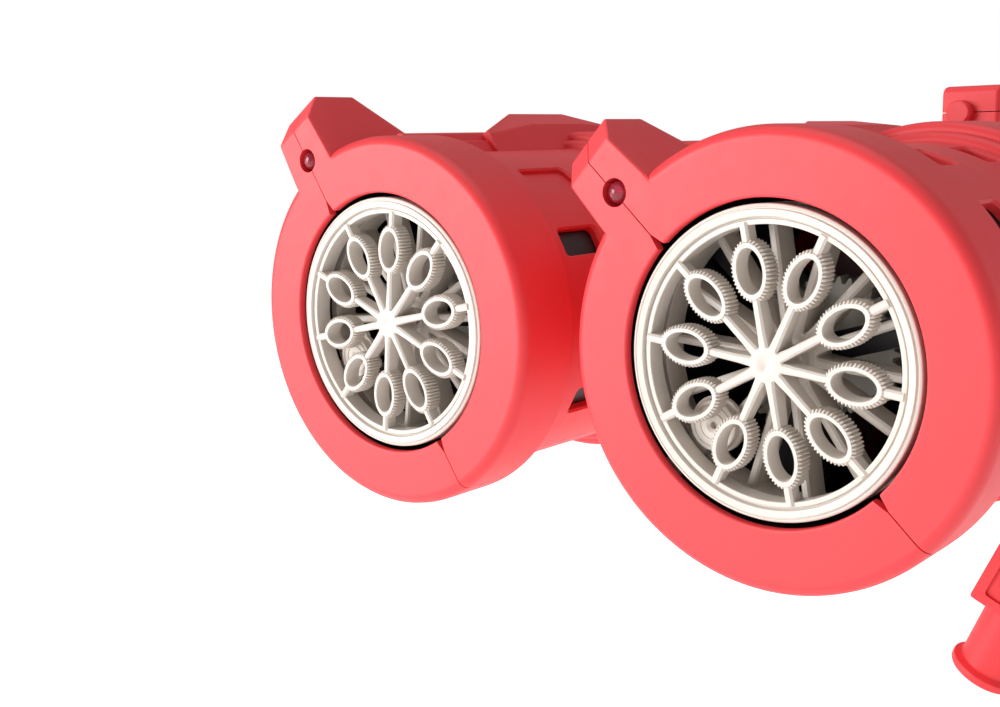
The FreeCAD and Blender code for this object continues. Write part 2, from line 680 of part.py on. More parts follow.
def housing():
    shell = less("house_shell", house_solid("house_outer", "0"), [house_solid("house_inner", "wall")])
    extras = []
    tools = []
    for name, sign in (("left", "0 - "), ("right", "")):
        middle = f"{sign}barrel_spacing / 2"
        extras.append(rod(name + "_collar", "collar_ring", "collar_ring_back - house_front", middle, "house_front"))
        tools.append(rod(name + "_collar_bore", "spigot_radius + swivel_play", "20", middle, "house_front - 5"))
    for number, (across, back) in enumerate(HOUSE_SCREWS):
        extras.append(rod(f"boss_{number}", "4.2", "house_top - house_bottom - 2", across, back, "house_bottom + 1",
                          "Z"))
        tools.append(rod(f"house_sink_{number}", "2.9", "14", across, back, "house_bottom", "Z"))
        tools.append(rod(f"house_hole_{number}", "screw_radius", "38", across, back, "house_bottom + 14", "Z"))
    eye = prism("strap_eye", "side", [("tail_back - 1", "2"), ("tail_back - 1", "18"), ("tail_back + 6", "15"),
                                      ("tail_back + 8", "10"), ("tail_back + 6", "5")], "0 - 3", "6")
    extras.append(eye)
    tools.append(rod("strap_hole", "2.6", "20", "0 - 10", "tail_back + 3.6", "10", "X"))
    tools.append(rod("socket_hole", "socket_radius + 0.1", "20", "0", "bottle_y", "house_bottom - 10", "Z"))
    tools.append(rod("button_hole", "button_radius + 0.3", "20", "0", "tail_back - 10", "0 - 12"))
    tools.append(box("door_hole", "2 * door_half", "door_back - door_front", "6", 0, "door_front",
                     "tail_bottom - 2"))
    for number in range(5):
        for hand, sign in (("left", "0 - "), ("right", "")):
            tools.append(box(f"vent_{hand}_{number}", "3", "46", "12", f"{sign}{24 + 10 * number}", "126",
                             "house_top - 6"))
    whole = less("house_whole", joined("house_solid", [shell] + extras), tools)
    span = "tail_back + 20"
    upper = box("upper_room", span, span, "house_half", z="0")
    lower = box("lower_room", span, span, "house_half", z="0 - house_half")
    keep(shared("housing_top", whole, upper), "housing_top", HOUSE)
    keep(shared("housing_bottom", whole, lower), "housing_bottom", HOUSE)
    screws = []
    for number, (across, back) in enumerate(HOUSE_SCREWS):
        shank = rod(f"house_shank_{number}", "screw_radius", "36", across, back, "house_bottom + 14", "Z")
        head = rod(f"house_head_{number}", "screw_head", "2", across, back, "house_bottom + 12", "Z")
        screws.append(joined(f"house_screw_{number}", [shank, head]))
    keep(group("housing_screws", screws), "housing_screws", HOUSE)


def handle_pin():
    """The round pin that stands out of the handle's front end, on its parting line."""
    return rod("handle_pin", "pin_radius - 0.05", "pin_proud + 10", "0 - pin_across", "handle_front - pin_proud",
               "handle_split")


def carry_handle():
    """An arched bar over the tail, parted along its length."""
    arch = prism("handle_arch", "side", [
        ("handle_front", "handle_low"),
        ("handle_front", "handle_high"),
        ("handle_back", "handle_high"),
        ("handle_back", "tail_top"),
        ("handle_back - post_depth", "tail_top"),
        ("handle_back - post_depth", "handle_low"),
        ("post_front + post_depth", "handle_low"),
        ("post_front + post_depth", "tail_top"),
        ("post_front", "tail_top"),
        ("post_front", "handle_low"),
    ], "0 - handle_half", "2 * handle_half")
    for label, low in (("carry_handle_top", "handle_split"), ("carry_handle_base", "handle_split - 60")):
        room = box(label + "_room", "80", "200", "60", 0, "handle_front - 20", low)
        half = shared(label + "_half", arch, room)
        if label == "carry_handle_base":
            half = joined(label + "_solid", [half, handle_pin()])
        else:
            half = less(label + "_solid", half, [rod("pin_seat", "pin_radius", "12", "0 - pin_across", "handle_front - 1",
                                                     "handle_split")])
        keep(half, label, HOUSE)


def grip_outline(inset):
    """The grip seen from the side, or its hollow when inset by the wall."""
    return [
        (f"grip_front + {inset}", f"house_bottom - {inset}"),
        (f"grip_back - {inset}", f"house_bottom - {inset}"),
        (f"grip_back - {inset}", f"house_bottom - 32 + {inset} * 0.4"),
        (f"grip_back - 6 - {inset}", f"house_bottom - 40 + {inset} * 0.4"),
        (f"grip_back - 8 - {inset}", f"grip_foot + {inset}"),
        (f"grip_front + 24 + {inset}", f"grip_foot + {inset}"),
        (f"grip_front + 20 + {inset}", f"house_bottom - 54 + {inset} * 0.4"),
        (f"grip_front + 12 + {inset}", f"house_bottom - 48 + {inset} * 0.4"),
        (f"grip_front + 12 + {inset}", f"house_bottom - 14 + {inset}"),
        (f"grip_front + {inset}", f"house_bottom - 14 + {inset}"),
    ]


def grip():
    outer = prism("grip_outer", "side", grip_outline("0"), "0 - grip_half", "2 * grip_half")
    inner = prism("grip_inner", "side", grip_outline("wall"), "wall - grip_half", "2 * grip_half - 2 * wall")
    slot = box("trigger_slot", "2 * trigger_half + 2 * trigger_play", "10", "14 + 2 * trigger_play", 0,
               "grip_front + 8", "0 - 80 - trigger_play")
    rib = box("spring_rib", "2 * grip_half - 2", "2", "16", 0, "grip_front + 32", "0 - 81")
    whole = joined("grip_whole", [less("grip_shell", outer, [inner, slot]), rib])
    for label, middle in (("grip_left", "0 - 50"), ("grip_right", "50")):
        room = box(label + "_room", "100", "200", "200", middle, "grip_front - 20", "grip_foot - 20")
        keep(shared(label, whole, room), label, HOUSE)


def side_grip():
    """A second grip, canted outwards: a box under the housing with a round shaft below it.

    It is drawn upright, with its box's lower left corner on the origin, then tilted about that corner.
    """
    depth = "cant_back - cant_front"
    block = box("cant_block", "cant_width", depth, "cant_high", "cant_width / 2", 0, 0)
    panel = box("cant_panel", "cant_width - 8", "1", "cant_high - 24", "cant_width / 2", 0, "4")
    middle = "cant_width / 2"
    shaft = turned("cant_shaft", [
        ("0", "1"),
        (f"{middle} - cant_neck", "1"),
        (f"{middle} - cant_neck", "0 - 1"),
        (f"{middle} - cant_neck - 0.6", "0 - cant_shaft"),
        (f"{middle} - cant_neck + 1.5", "0 - cant_shaft - 1.5"),
        (f"{middle} - cant_neck + 1.5", "0 - cant_shaft - cant_lip"),
        ("0", "0 - cant_shaft - cant_lip"),
    ], "Z")
    bind(shaft, Placement__Base__x=middle, Placement__Base__y=f"( {depth} ) / 2")
    hollow = box("cant_hollow", "cant_width - 2 * cant_wall", f"{depth} - 2 * cant_wall - 1", "cant_high", middle,
                 "cant_wall + 1", "cant_wall")
    whole = less("cant_whole", joined("cant_solid", [block, shaft]), [panel, hollow])
    corner = Vector(size("cant_x"), size("cant_front"), size("cant_z"))
    tilt = Rotation(Vector(0, 1, 0), size("cant"))
    upright = group("cant_upright", [whole])
    upright.Placement = Placement(corner, tilt)
    below = box("cant_room", "400", "200", "200", 0, "100", "house_bottom - 200 - 0.1")
    keep(shared("side_grip", upright, below), "side_grip", HOUSE)


def trigger():
    """A finger pad on a stem that slides back into the grip against a spring."""
    width = "2 * trigger_half"
    blade = prism("trigger_pad", "side", [
        ("trigger_front + 1.5", "0 - 62"),
        ("trigger_front + 9", "0 - 61"),
        ("trigger_front + 9", "0 - 85"),
        ("trigger_front + 4", "0 - 90"),
        ("trigger_front", "0 - 88"),
        ("trigger_front + 3", "0 - 75"),
    ], "0 - trigger_half", width)
    stem = box("trigger_stem", width, "18", "14", 0, "trigger_front + 8", "0 - 80")
    stop = box("trigger_stop", width, "3", "20", 0, "grip_front + 14.8", "0 - 83")
    keep(joined("trigger", [blade, stem, stop]), "trigger", HOUSE)
    coil = doc.addObject("Part::Helix", new_name("spring_line"))
    coil.setExpression("Pitch", "2 mm")
    coil.setExpression("Height", formula("12 mm"))
    coil.setExpression("Radius", "3.4 mm")
    wire = doc.addObject("Part::Circle", new_name("spring_wire"))
    wire.Placement = Placement(Vector(3.4, 0, 0), Rotation(Vector(1, 0, 0), 90))
    wire.Radius = 0.45
    spring = doc.addObject("Part::Sweep", new_name("trigger_spring"))
    spring.Sections = [wire]
    spring.Spine = (coil, ["Edge1"])
    spring.Solid = True
    spring.Frenet = True
    seat = Placement(Vector(0, size("grip_front") + 18.8, -73), Rotation(Vector(1, 0, 0), -90))
    keep(spring, "trigger_spring", HOUSE.multiply(seat))
    keep(box("trigger_switch", "6.4", "10", "7", 0, "grip_front + 26", "0 - 64"), "trigger_switch", HOUSE)


def battery_bay():
    play = "door_play"
    plate = box("door_plate", f"2 * door_half - 2 * {play}", f"door_back - door_front - 2 * {play}", "wall", 0,
                f"door_front + {play}", "tail_bottom")
    pull = box("door_pull", "14", "3", "1.4", 0, "door_back - 8", "tail_bottom - 1.4")
    keep(joined("battery_door", [plate, pull]), "battery_door", HOUSE)
    cells = []
    height = "tail_bottom + wall + cell_radius + 0.8"
    for number, across in enumerate(("0 - 2 * cell_radius - 0.6", "0", "2 * cell_radius + 0.6")):
        can = rod(f"cell_{number}", "cell_radius", "cell_length - 1.4", across, "cell_front", height)
        tip = rod(f"cell_tip_{number}", "2.6", "1.4", across, "cell_front + cell_length - 1.4", height)
        cells.append(joined(f"cell_whole_{number}", [can, tip]))
    keep(group("batteries", cells), "batteries", HOUSE)
    plates = []
    for number, back in enumerate(("cell_front - 0.8", "cell_front + cell_length")):
        plates.append(box(f"contact_{number}", "6 * cell_radius", "0.8", "10", 0, back, f"{height} - 5"))
    keep(group("battery_contacts", plates), "battery_contacts", HOUSE)


def button():
    cap = rod("button_cap", "button_radius", "7", "0", "tail_back - 4", "0 - 12")
    stop = rod("button_stop", "button_radius + 1.5", "1.2", "0", "tail_back - wall - 1.6", "0 - 12")
    keep(joined("light_button", [cap, stop]), "light_button", HOUSE)


def bottle():
    """The bottle screws up into a socket under the housing."""
    ring = turned("socket_ring", [
        ("socket_radius", "socket_foot"),
        ("socket_radius", "house_bottom + wall"),
        ("socket_radius + 3", "house_bottom + wall"),
        ("socket_radius + 3", "house_bottom + wall + 1.6"),
        ("2", "house_bottom + wall + 1.6"),
        ("2", "house_bottom"),
        ("neck_radius + 0.3", "house_bottom"),
        ("neck_radius + 0.3", "socket_foot"),
    ], "Z")
    spot = Placement(Vector(0, size("bottle_y"), 0), Rotation())
    keep(ring, "bottle_socket", HOUSE.multiply(spot))
    jar = turned("bottle_form", [
        ("0", "bottle_foot"),
        ("bottle_radius - 2", "bottle_foot"),
        ("bottle_radius", "bottle_foot + 2"),
        ("bottle_radius", "bottle_shoulder"),
        ("neck_radius", "socket_foot - 0.6"),
        ("neck_radius", "neck_top"),
        ("neck_radius - bottle_wall", "neck_top"),
        ("neck_radius - bottle_wall", "socket_foot - 1.2"),
        ("bottle_radius - bottle_wall", "bottle_shoulder - 0.6"),
        ("bottle_radius - bottle_wall", "bottle_foot + bottle_wall"),
        ("0", "bottle_foot + bottle_wall"),
    ], "Z")
    keep(jar, "bottle", HOUSE.multiply(spot))


def pump():
    length = "0 - 28 - bottle_foot"
    keep(rod("intake", "1.6", length, "0", "bottle_y", "bottle_foot + 6", "Z"), "intake_tube", HOUSE)
    keep(rod("pump_drum", "15", "16", "0", "bottle_y", "0 - 22", "Z"), "pump_head", HOUSE)
    keep(rod("pump_can", "10", "26", "0", "bottle_y", "0 - 6", "Z"), "pump_motor", HOUSE)
    lines = []
    for sign in (-1, 1):
        middle = sign * size("barrel_spacing") / 2
        lines.append(pipe([
            Vector(sign * 14.5, size("bottle_y") - 6, -14),
            Vector(sign * 36, size("bottle_y"), -12),
            Vector(middle, 140, 0),
            Vector(middle, size("lip_back") + 1, 0),
        ], size("tube_radius"), 9))
    keep(pipe_piece("feed_manifold", lines), "feed_manifold", HOUSE)
    keep(box("board", "44", "28", "1.6", 0, "180", "0 - 30"), "circuit_board", HOUSE)


# ---------------------------------------------------------------- build and write


def build():
    whole = casing_whole()
    barrel("left", whole, 2.8)
    barrel("right", whole, -0.7)
    housing()
    carry_handle()
    grip()
    side_grip()
    trigger()
    battery_bay()
    button()
    bottle()
    pump()
    doc.recompute()


def write():
    for item in doc.Objects:
        if "Invalid" in item.State or "Error" in item.State:
            raise RuntimeError(f"{item.Name} did not build: {item.State}")
    os.makedirs("parts", exist_ok=True)
    for item in pieces:
        if item.Shape.isNull() or not item.Shape.isValid() or item.Shape.Volume <= 0:
            raise RuntimeError(f"{item.Label} has no sound shape")
        item.Shape.exportStep(f"parts/{item.Label}.step")


build()
write()
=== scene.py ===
import json
import math

import bmesh
import bpy
from bpy.props import FloatProperty, FloatVectorProperty, IntProperty, PointerProperty
from mathutils import Matrix, Vector


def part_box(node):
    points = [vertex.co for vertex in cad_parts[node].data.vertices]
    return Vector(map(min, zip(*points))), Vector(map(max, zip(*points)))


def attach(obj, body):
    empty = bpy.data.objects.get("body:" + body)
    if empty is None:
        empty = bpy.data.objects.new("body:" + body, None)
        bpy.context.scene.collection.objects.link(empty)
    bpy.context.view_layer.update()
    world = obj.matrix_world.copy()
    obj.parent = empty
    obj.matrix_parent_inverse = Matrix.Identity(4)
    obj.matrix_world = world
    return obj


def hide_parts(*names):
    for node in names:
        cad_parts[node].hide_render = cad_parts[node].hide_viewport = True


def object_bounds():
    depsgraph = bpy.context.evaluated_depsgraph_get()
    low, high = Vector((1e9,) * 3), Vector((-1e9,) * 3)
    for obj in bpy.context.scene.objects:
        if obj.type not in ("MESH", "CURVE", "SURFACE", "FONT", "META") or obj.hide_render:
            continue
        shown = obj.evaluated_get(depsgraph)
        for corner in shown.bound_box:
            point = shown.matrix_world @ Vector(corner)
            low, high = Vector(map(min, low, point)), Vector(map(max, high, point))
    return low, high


bl_info = {
    "name": "Bubble Machine",
    "version": (1, 0, 0),
    "blender": (4, 5, 0),
    "location": "View3D > Sidebar > Bubble Machine",
    "description": "Builds a twin-barrel bubble machine round its engineering frame",
    "category": "Object",
}

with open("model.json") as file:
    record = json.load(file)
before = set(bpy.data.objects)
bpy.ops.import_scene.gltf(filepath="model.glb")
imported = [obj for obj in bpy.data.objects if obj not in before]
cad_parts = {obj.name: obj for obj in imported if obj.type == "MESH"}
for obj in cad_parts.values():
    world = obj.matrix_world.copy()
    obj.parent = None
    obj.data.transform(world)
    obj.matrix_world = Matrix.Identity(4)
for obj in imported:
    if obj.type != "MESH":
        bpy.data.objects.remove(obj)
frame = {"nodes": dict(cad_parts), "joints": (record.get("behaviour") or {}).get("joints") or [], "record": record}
CAD_LOW, CAD_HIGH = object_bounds()
JOINTS = {joint["name"]: joint for joint in frame["joints"]}
MILLIMETRE = 0.001

# Pieces are drawn in millimetres. A barrel's pieces are drawn round its own axis: the origin is the centre
# of the front wheel's front plane, +Y runs back along the barrel and +Z goes up through its light.
# The housing's pieces share the origin midway between the two wheels.
WHEEL_PHASE = {"left": 2.8, "right": -0.7}
TURN_STEPS = 128


# ---------------------------------------------------------------- where things stand


def middle(node):
    low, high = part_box(node)
    return (low + high) / 2


def barrel_matrix(side):
    """From a barrel's own millimetres to the machine's metres, at rest."""
    axis = Vector(JOINTS[side + "_barrel_swivel"]["pos_m"])
    light = middle(side + "_led") - axis
    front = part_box(side + "_front_wheel")[0].y
    roll = math.atan2(light.x, light.z)
    spot = Matrix.Translation((axis.x, front, axis.z))
    return spot @ Matrix.Rotation(roll, 4, "Y")


def machine_matrix():
    """From the housing's millimetres to the machine's metres."""
    axis = Vector(JOINTS["left_barrel_swivel"]["pos_m"])
    return Matrix.Translation((0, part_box("left_front_wheel")[0].y, axis.z))


# ---------------------------------------------------------------- drawing and carving


def fillet(before, corner, after, radius, steps):
    """The points of an arc that rounds one corner of a flat outline."""
    into = (corner - before).normalized()
    out = (after - corner).normalized()
    turn = into.angle_signed(out)
    if radius <= 0 or abs(turn) < 0.02:
        return [corner]
    cutback = radius * math.tan(abs(turn) / 2)
    side = -math.copysign(1, turn)
    start = corner - into * cutback
    centre = start + Vector((-into.y, into.x)) * radius * side
    arm = start - centre
    points = []
    for step in range(steps + 1):
        angle = -turn * step / steps
        spin = Matrix.Rotation(angle, 2)
        points.append(centre + spin @ arm)
    return points


def outline(corners, steps=4):
    """A closed flat outline. Each corner is (across, up) or (across, up, fillet radius)."""
    spots = [Vector(corner[:2]) for corner in corners]
    radii = [corner[2] if len(corner) > 2 else 0 for corner in corners]
    points = []
    for number, radius in enumerate(radii):
        after = spots[(number + 1) % len(spots)]
        points += fillet(spots[number - 1], spots[number], after, radius, steps)
    return points


def mirrored(half):
    """Right-hand corners from the bottom up, with their mirror images back down."""
    return half + [(-corner[0],) + tuple(corner[1:]) for corner in reversed(half)]


def to_object(name, bm):
    bmesh.ops.remove_doubles(bm, verts=bm.verts, dist=0.0005)
    bmesh.ops.recalc_face_normals(bm, faces=bm.faces)
    mesh = bpy.data.meshes.new(name)
    bm.to_mesh(mesh)
    bm.free()
    obj = bpy.data.objects.new(name, mesh)
    bpy.context.scene.collection.objects.link(obj)
    return obj


def skin(bm, sections, ring):
    """Faces between closed sections of equal counts, capped at the ends or joined last to first."""
    rows = [[bm.verts.new(point) for point in section] for section in sections]
    pairs = list(zip(rows, rows[1:]))
    if ring:
        pairs.append((rows[-1], rows[0]))
    else:
        bm.faces.new(reversed(rows[0]))
        bm.faces.new(rows[-1])
    count = len(rows[0])
    for low, high in pairs:
        for number in range(count):
            following = (number + 1) % count
            bm.faces.new((low[number], low[following], high[following], high[number]))


def loft(sections, ring=False, name="loft"):
    bm = bmesh.new()
    skin(bm, sections, ring)
    return to_object(name, bm)


def several(section_lists, ring=False, name="several"):
    """Separate lofts kept in one mesh."""
    bm = bmesh.new()
    for sections in section_lists:
        skin(bm, sections, ring)
    return to_object(name, bm)


def lathe(corners, axis="Y", turns=TURN_STEPS, steps=4):
    """A closed profile of (radius, along, fillet radius) turned a full circle."""
    profile = outline(corners, steps)
    sections = []
    for step in range(turns):
        angle = 2 * math.pi * step / turns
        across, up = math.sin(angle), math.cos(angle)
        if axis == "Y":
            sections.append([Vector((r * across, along, r * up)) for r, along in profile])
        else:
            sections.append([Vector((r * across, r * up, along)) for r, along in profile])
    return loft(sections, ring=True, name="lathe")


PLACES = {
    "front": lambda across, up, depth: Vector((across, depth, up)),
    "side": lambda across, up, depth: Vector((depth, across, up)),
    "plan": lambda across, up, depth: Vector((across, up, depth)),
}


def prism(view, corners, start, end, steps=4):
    """An outline drawn in one view and extruded square to it."""
    points = outline(corners, steps)
    place = PLACES[view]
    return loft([[place(across, up, depth) for across, up in points] for depth in (start, end)], name="prism")


def slab(low, high):
    """A block between two corners."""
    corners = [(low[0], low[1]), (high[0], low[1]), (high[0], high[1]), (low[0], high[1])]
    return prism("plan", corners, low[2], high[2])


def rod(radius, start, end, axis="Y", turns=48):
    """A round bar from one point to another along an axis."""
    number = "XYZ".index(axis)
    across, up = [Vector(unit) for unit in ((1, 0, 0), (0, 1, 0), (0, 0, 1)) if unit[number] == 0]
    sections = []
    for centre in (start, end):
        ring = []
        for step in range(turns):
            angle = 2 * math.pi * step / turns
            ring.append(Vector(centre) + (across * math.cos(angle) + up * math.sin(angle)) * radius)
        sections.append(ring)
    return loft(sections, name="rod")


def discard(*objects):
    for obj in objects:
        mesh = obj.data
        bpy.data.objects.remove(obj)
        if mesh.users == 0:
            bpy.data.meshes.remove(mesh)


def bake(obj):
    """Turns the object's modifiers into its mesh."""
    graph = bpy.context.evaluated_depsgraph_get()
    mesh = bpy.data.meshes.new_from_object(obj.evaluated_get(graph))
    obj.modifiers.clear()
    old = obj.data
    obj.data = mesh
    if old.users == 0:
        bpy.data.meshes.remove(old)
    return obj


def combine(obj, tools, operation):
    for tool in tools:
        change = obj.modifiers.new("combine", "BOOLEAN")
        change.operation = operation
        change.solver = "EXACT"
        change.object = tool
        bake(obj)
        discard(tool)
        if not obj.data.polygons:
            raise RuntimeError(f"{obj.name} was left empty by {operation.lower()}")
    return obj


def carve(obj, *tools):
    return combine(obj, tools, "DIFFERENCE")


def join(obj, *tools):
    return combine(obj, tools, "UNION")


def shared(obj, tool):
    return combine(obj, [tool], "INTERSECT")


def soften(obj, width, steps=3, angle=30, clamp=True):
    """Rounds the edges. Without the clamp, roundings that overlap can break the mesh."""
    edge = obj.modifiers.new("edge", "BEVEL")
    edge.use_clamp_overlap = clamp
    edge.width = width
    edge.segments = steps
    edge.limit_method = "ANGLE"
    edge.angle_limit = math.radians(angle)
    return bake(obj)


def moved(obj, matrix):
    obj.data.transform(matrix)
    return obj


def copy_of(obj):
    twin = bpy.data.objects.new(obj.name, obj.data.copy())
    bpy.context.scene.collection.objects.link(twin)
    return twin


def smooth(obj, angle=32):
    """Smooth shading that stays crisp at corners."""
    bm = bmesh.new()
    bm.from_mesh(obj.data)
    bmesh.ops.dissolve_degenerate(bm, edges=bm.edges, dist=0.0005)
    for face in bm.faces:
        face.smooth = True
    for edge in bm.edges:
        edge.smooth = edge.calc_face_angle(math.pi) < math.radians(angle)
    bm.to_mesh(obj.data)
    bm.free()
    even = obj.modifiers.new("even", "WEIGHTED_NORMAL")
    even.keep_sharp = True
    even.weight = 80
    return bake(obj)


def place_piece(obj, name, matrix, body, finish, *nodes):
    """Names a drawn piece, scales it to metres, puts it in place and ties it to its body."""
    smooth(obj)
    obj.name = name
    obj.data.name = name
    obj.data.transform(matrix @ Matrix.Scale(MILLIMETRE, 4))
    obj.data.materials.clear()
    obj.data.materials.append(material(finish))
    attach(obj, body)
    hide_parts(*nodes)
    return obj


# ---------------------------------------------------------------- materials


def new_material(name):
    """A finish with a slot's name. The plain colour that the CAD parts came with gives the name up."""
    plain = bpy.data.materials.get(name)
    if plain:
        plain.name = "plain_" + name
    made = bpy.data.materials.new(name)
    made.use_nodes = True
    tree = made.node_tree
    shader = tree.nodes["Principled BSDF"]
    return made, tree, shader


def noise(tree, scale, detail=2.0, stretch=None):
    """A noise texture fixed to the object, with an optional stretch along its axes."""
    place = tree.nodes.new("ShaderNodeTexCoord")
    texture = tree.nodes.new("ShaderNodeTexNoise")
    texture.inputs["Scale"].default_value = scale
    texture.inputs["Detail"].default_value = detail
    source = place.outputs["Object"]
    if stretch:
        mapping = tree.nodes.new("ShaderNodeMapping")
        mapping.inputs["Scale"].default_value = stretch
        tree.links.new(source, mapping.inputs["Vector"])
        source = mapping.outputs["Vector"]
    tree.links.new(source, texture.inputs["Vector"])
    return texture.outputs["Fac"]


def vary_colour(tree, shader, colour, amount, scale):
    """Slow drift of the colour between slightly darker and slightly lighter."""
    ramp = tree.nodes.new("ShaderNodeValToRGB")
    ramp.color_ramp.elements[0].position = 0.3
    ramp.color_ramp.elements[1].position = 0.7
    ramp.color_ramp.elements[0].color = [min(1, part * (1 - amount)) for part in colour] + [1]
    ramp.color_ramp.elements[1].color = [min(1, part * (1 + amount)) for part in colour] + [1]
    tree.links.new(noise(tree, scale), ramp.inputs["Fac"])
    tree.links.new(ramp.outputs["Color"], shader.inputs["Base Color"])


def vary_roughness(tree, shader, level, amount, scale):
    spread = tree.nodes.new("ShaderNodeMapRange")
    spread.inputs["To Min"].default_value = max(0, level - amount)
    spread.inputs["To Max"].default_value = level + amount
    tree.links.new(noise(tree, scale, 3), spread.inputs["Value"])
    tree.links.new(spread.outputs["Result"], shader.inputs["Roughness"])


def add_grain(tree, shader, scale, depth, stretch=None):
    """Fine relief such as spark-eroded texture or brushing. The depth is in metres."""
    bump = tree.nodes.new("ShaderNodeBump")
    bump.inputs["Strength"].default_value = 1.0
    bump.inputs["Distance"].default_value = depth
    tree.links.new(noise(tree, scale, 4, stretch), bump.inputs["Height"])
    tree.links.new(bump.outputs["Normal"], shader.inputs["Normal"])


def moulded(name, colour, roughness, grain=0.000012, drift=0.05, specular=0.5):
    made, tree, shader = new_material(name)
    shader.inputs["Specular IOR Level"].default_value = specular
    vary_colour(tree, shader, colour, drift, 22)
    vary_roughness(tree, shader, roughness, 0.06, 260)
    add_grain(tree, shader, 1400, grain)
    return made


def coral_plastic(settings):
    return moulded("coral_plastic", settings.coral, 0.5, 0.000014, 0.04, 0.5)


def white_plastic(settings):
    made = moulded("white_plastic", settings.ivory, 0.34, 0.000006, 0.03)
    shader = made.node_tree.nodes["Principled BSDF"]
    shader.inputs["Subsurface Weight"].default_value = 0.12
    shader.inputs["Subsurface Radius"].default_value = (0.9, 0.7, 0.5)
    shader.inputs["Subsurface Scale"].default_value = 0.0012
    return made


def black_plastic(settings):
    return moulded("black_plastic", (0.018, 0.017, 0.02), 0.42, 0.00001, 0.15)


def natural_plastic(settings):
    return moulded("natural_plastic", (0.78, 0.75, 0.66), 0.38, 0.000005, 0.03)


def board(settings):
    return moulded("board", (0.03, 0.19, 0.08), 0.3, 0.000004, 0.1)


def clear_tube(settings):
    made = moulded("clear_tube", (0.82, 0.84, 0.83), 0.22, 0.000003, 0.02)
    made.node_tree.nodes["Principled BSDF"].inputs["Transmission Weight"].default_value = 0.45
    return made


def smoke_plastic(settings):
    made = moulded("smoke_plastic", settings.smoke, 0.25, 0.000004, 0.06)
    shader = made.node_tree.nodes["Principled BSDF"]
    shader.inputs["Transmission Weight"].default_value = 0.25
    return made


def bottle_plastic(settings):
    made = moulded("bottle_plastic", (0.72, 0.84, 0.92), 0.3, 0.00001, 0.04)
    made.node_tree.nodes["Principled BSDF"].inputs["Transmission Weight"].default_value = 0.7
    return made


def clear_lens(settings):
    made, tree, shader = new_material("clear_lens")
    shader.inputs["Transmission Weight"].default_value = 0.8
    shader.inputs["IOR"].default_value = 1.5
    vary_colour(tree, shader, (0.85, 0.07, 0.13), 0.04, 300)
    vary_roughness(tree, shader, 0.05, 0.03, 900)
    return made


def metal(name, colour, roughness, stretch):
    made, tree, shader = new_material(name)
    shader.inputs["Metallic"].default_value = 1.0
    vary_colour(tree, shader, colour, 0.08, 60)
    vary_roughness(tree, shader, roughness, 0.1, 500)
    add_grain(tree, shader, 900, 0.000006, stretch)
    return made


def steel(settings):
    return metal("steel", (0.62, 0.61, 0.6), 0.26, (1, 1, 12))


def steel_can(settings):
    return metal("steel_can", (0.56, 0.56, 0.58), 0.34, (1, 14, 1))


def studio_floor(settings):
    made = moulded("studio_floor", settings.floor_colour, 0.8, 0.00002, 0.01, 0.1)
    shader = made.node_tree.nodes["Principled BSDF"]
    shader.inputs["Emission Color"].default_value = (1.0, 1.0, 1.0, 1.0)
    shader.inputs["Emission Strength"].default_value = 0.66
    return made


MATERIALS = (coral_plastic, white_plastic, black_plastic, natural_plastic, board, clear_tube, smoke_plastic,
             bottle_plastic, clear_lens, steel, steel_can, studio_floor)


def material(name):
    return bpy.data.materials[name]


# ---------------------------------------------------------------- settings


class MachineSettings(bpy.types.PropertyGroup):
    coral: FloatVectorProperty(name="Casing colour", description="Colour of the casing and the housing",
                               default=(0.77, 0.038, 0.046), size=3, subtype="COLOR", min=0, max=1)
    ivory: FloatVectorProperty(name="Wheel colour",
                               description="Colour of the wand wheels and other white parts",
                               default=(0.68, 0.615, 0.555), size=3, subtype="COLOR", min=0, max=1)
    smoke: FloatVectorProperty(name="Fan colour", description="Colour of the fan's smoky plastic",
                               default=(0.70, 0.40, 0.44), size=3, subtype="COLOR", min=0, max=1)
    floor_colour: FloatVectorProperty(name="Floor colour", description="Colour of the studio floor",
                                      default=(0.96, 0.96, 0.96), size=3, subtype="COLOR", min=0, max=1)
    rib_count: IntProperty(name="Ribs on a wand", description="Number of small ribs round each wand",
                           default=40, min=8, max=80)
    ring_fillet: FloatProperty(name="Ring edge", description="Radius of the ring's outer front edge, in mm",
                               default=2.8, min=0.5, max=4.0)
    seam: FloatProperty(name="Seam", description="Half the gap between two casing shells, in mm",
                        default=0.13, min=0.02, max=0.4)
    edge: FloatProperty(name="Housing edge", description="Bevel of the housing's corners, in mm",
                        default=4.0, min=0.5, max=8.0)


def settings():
    return bpy.context.scene.bubble_machine


# ---------------------------------------------------------------- barrel casing

# Each window is (middle angle from the light, width, front, back, depth), in degrees and millimetres.
THROUGH = 12.0
BLIND = 1.7
WINDOWS = (
    (66.5, 9.0, 30.0, 48.0, BLIND),
    (66.5, 9.0, 64.0, 74.0, BLIND),
    (95.0, 7.2, 26.0, 41.0, THROUGH),
    (95.0, 7.2, 50.0, 74.0, THROUGH),
    (127.0, 9.8, 30.0, 74.0, THROUGH),
    (153.0, 7.2, 30.0, 74.0, THROUGH),
)
BODY_RADIUS = 42.5
LIGHT_HEIGHT = 49.3


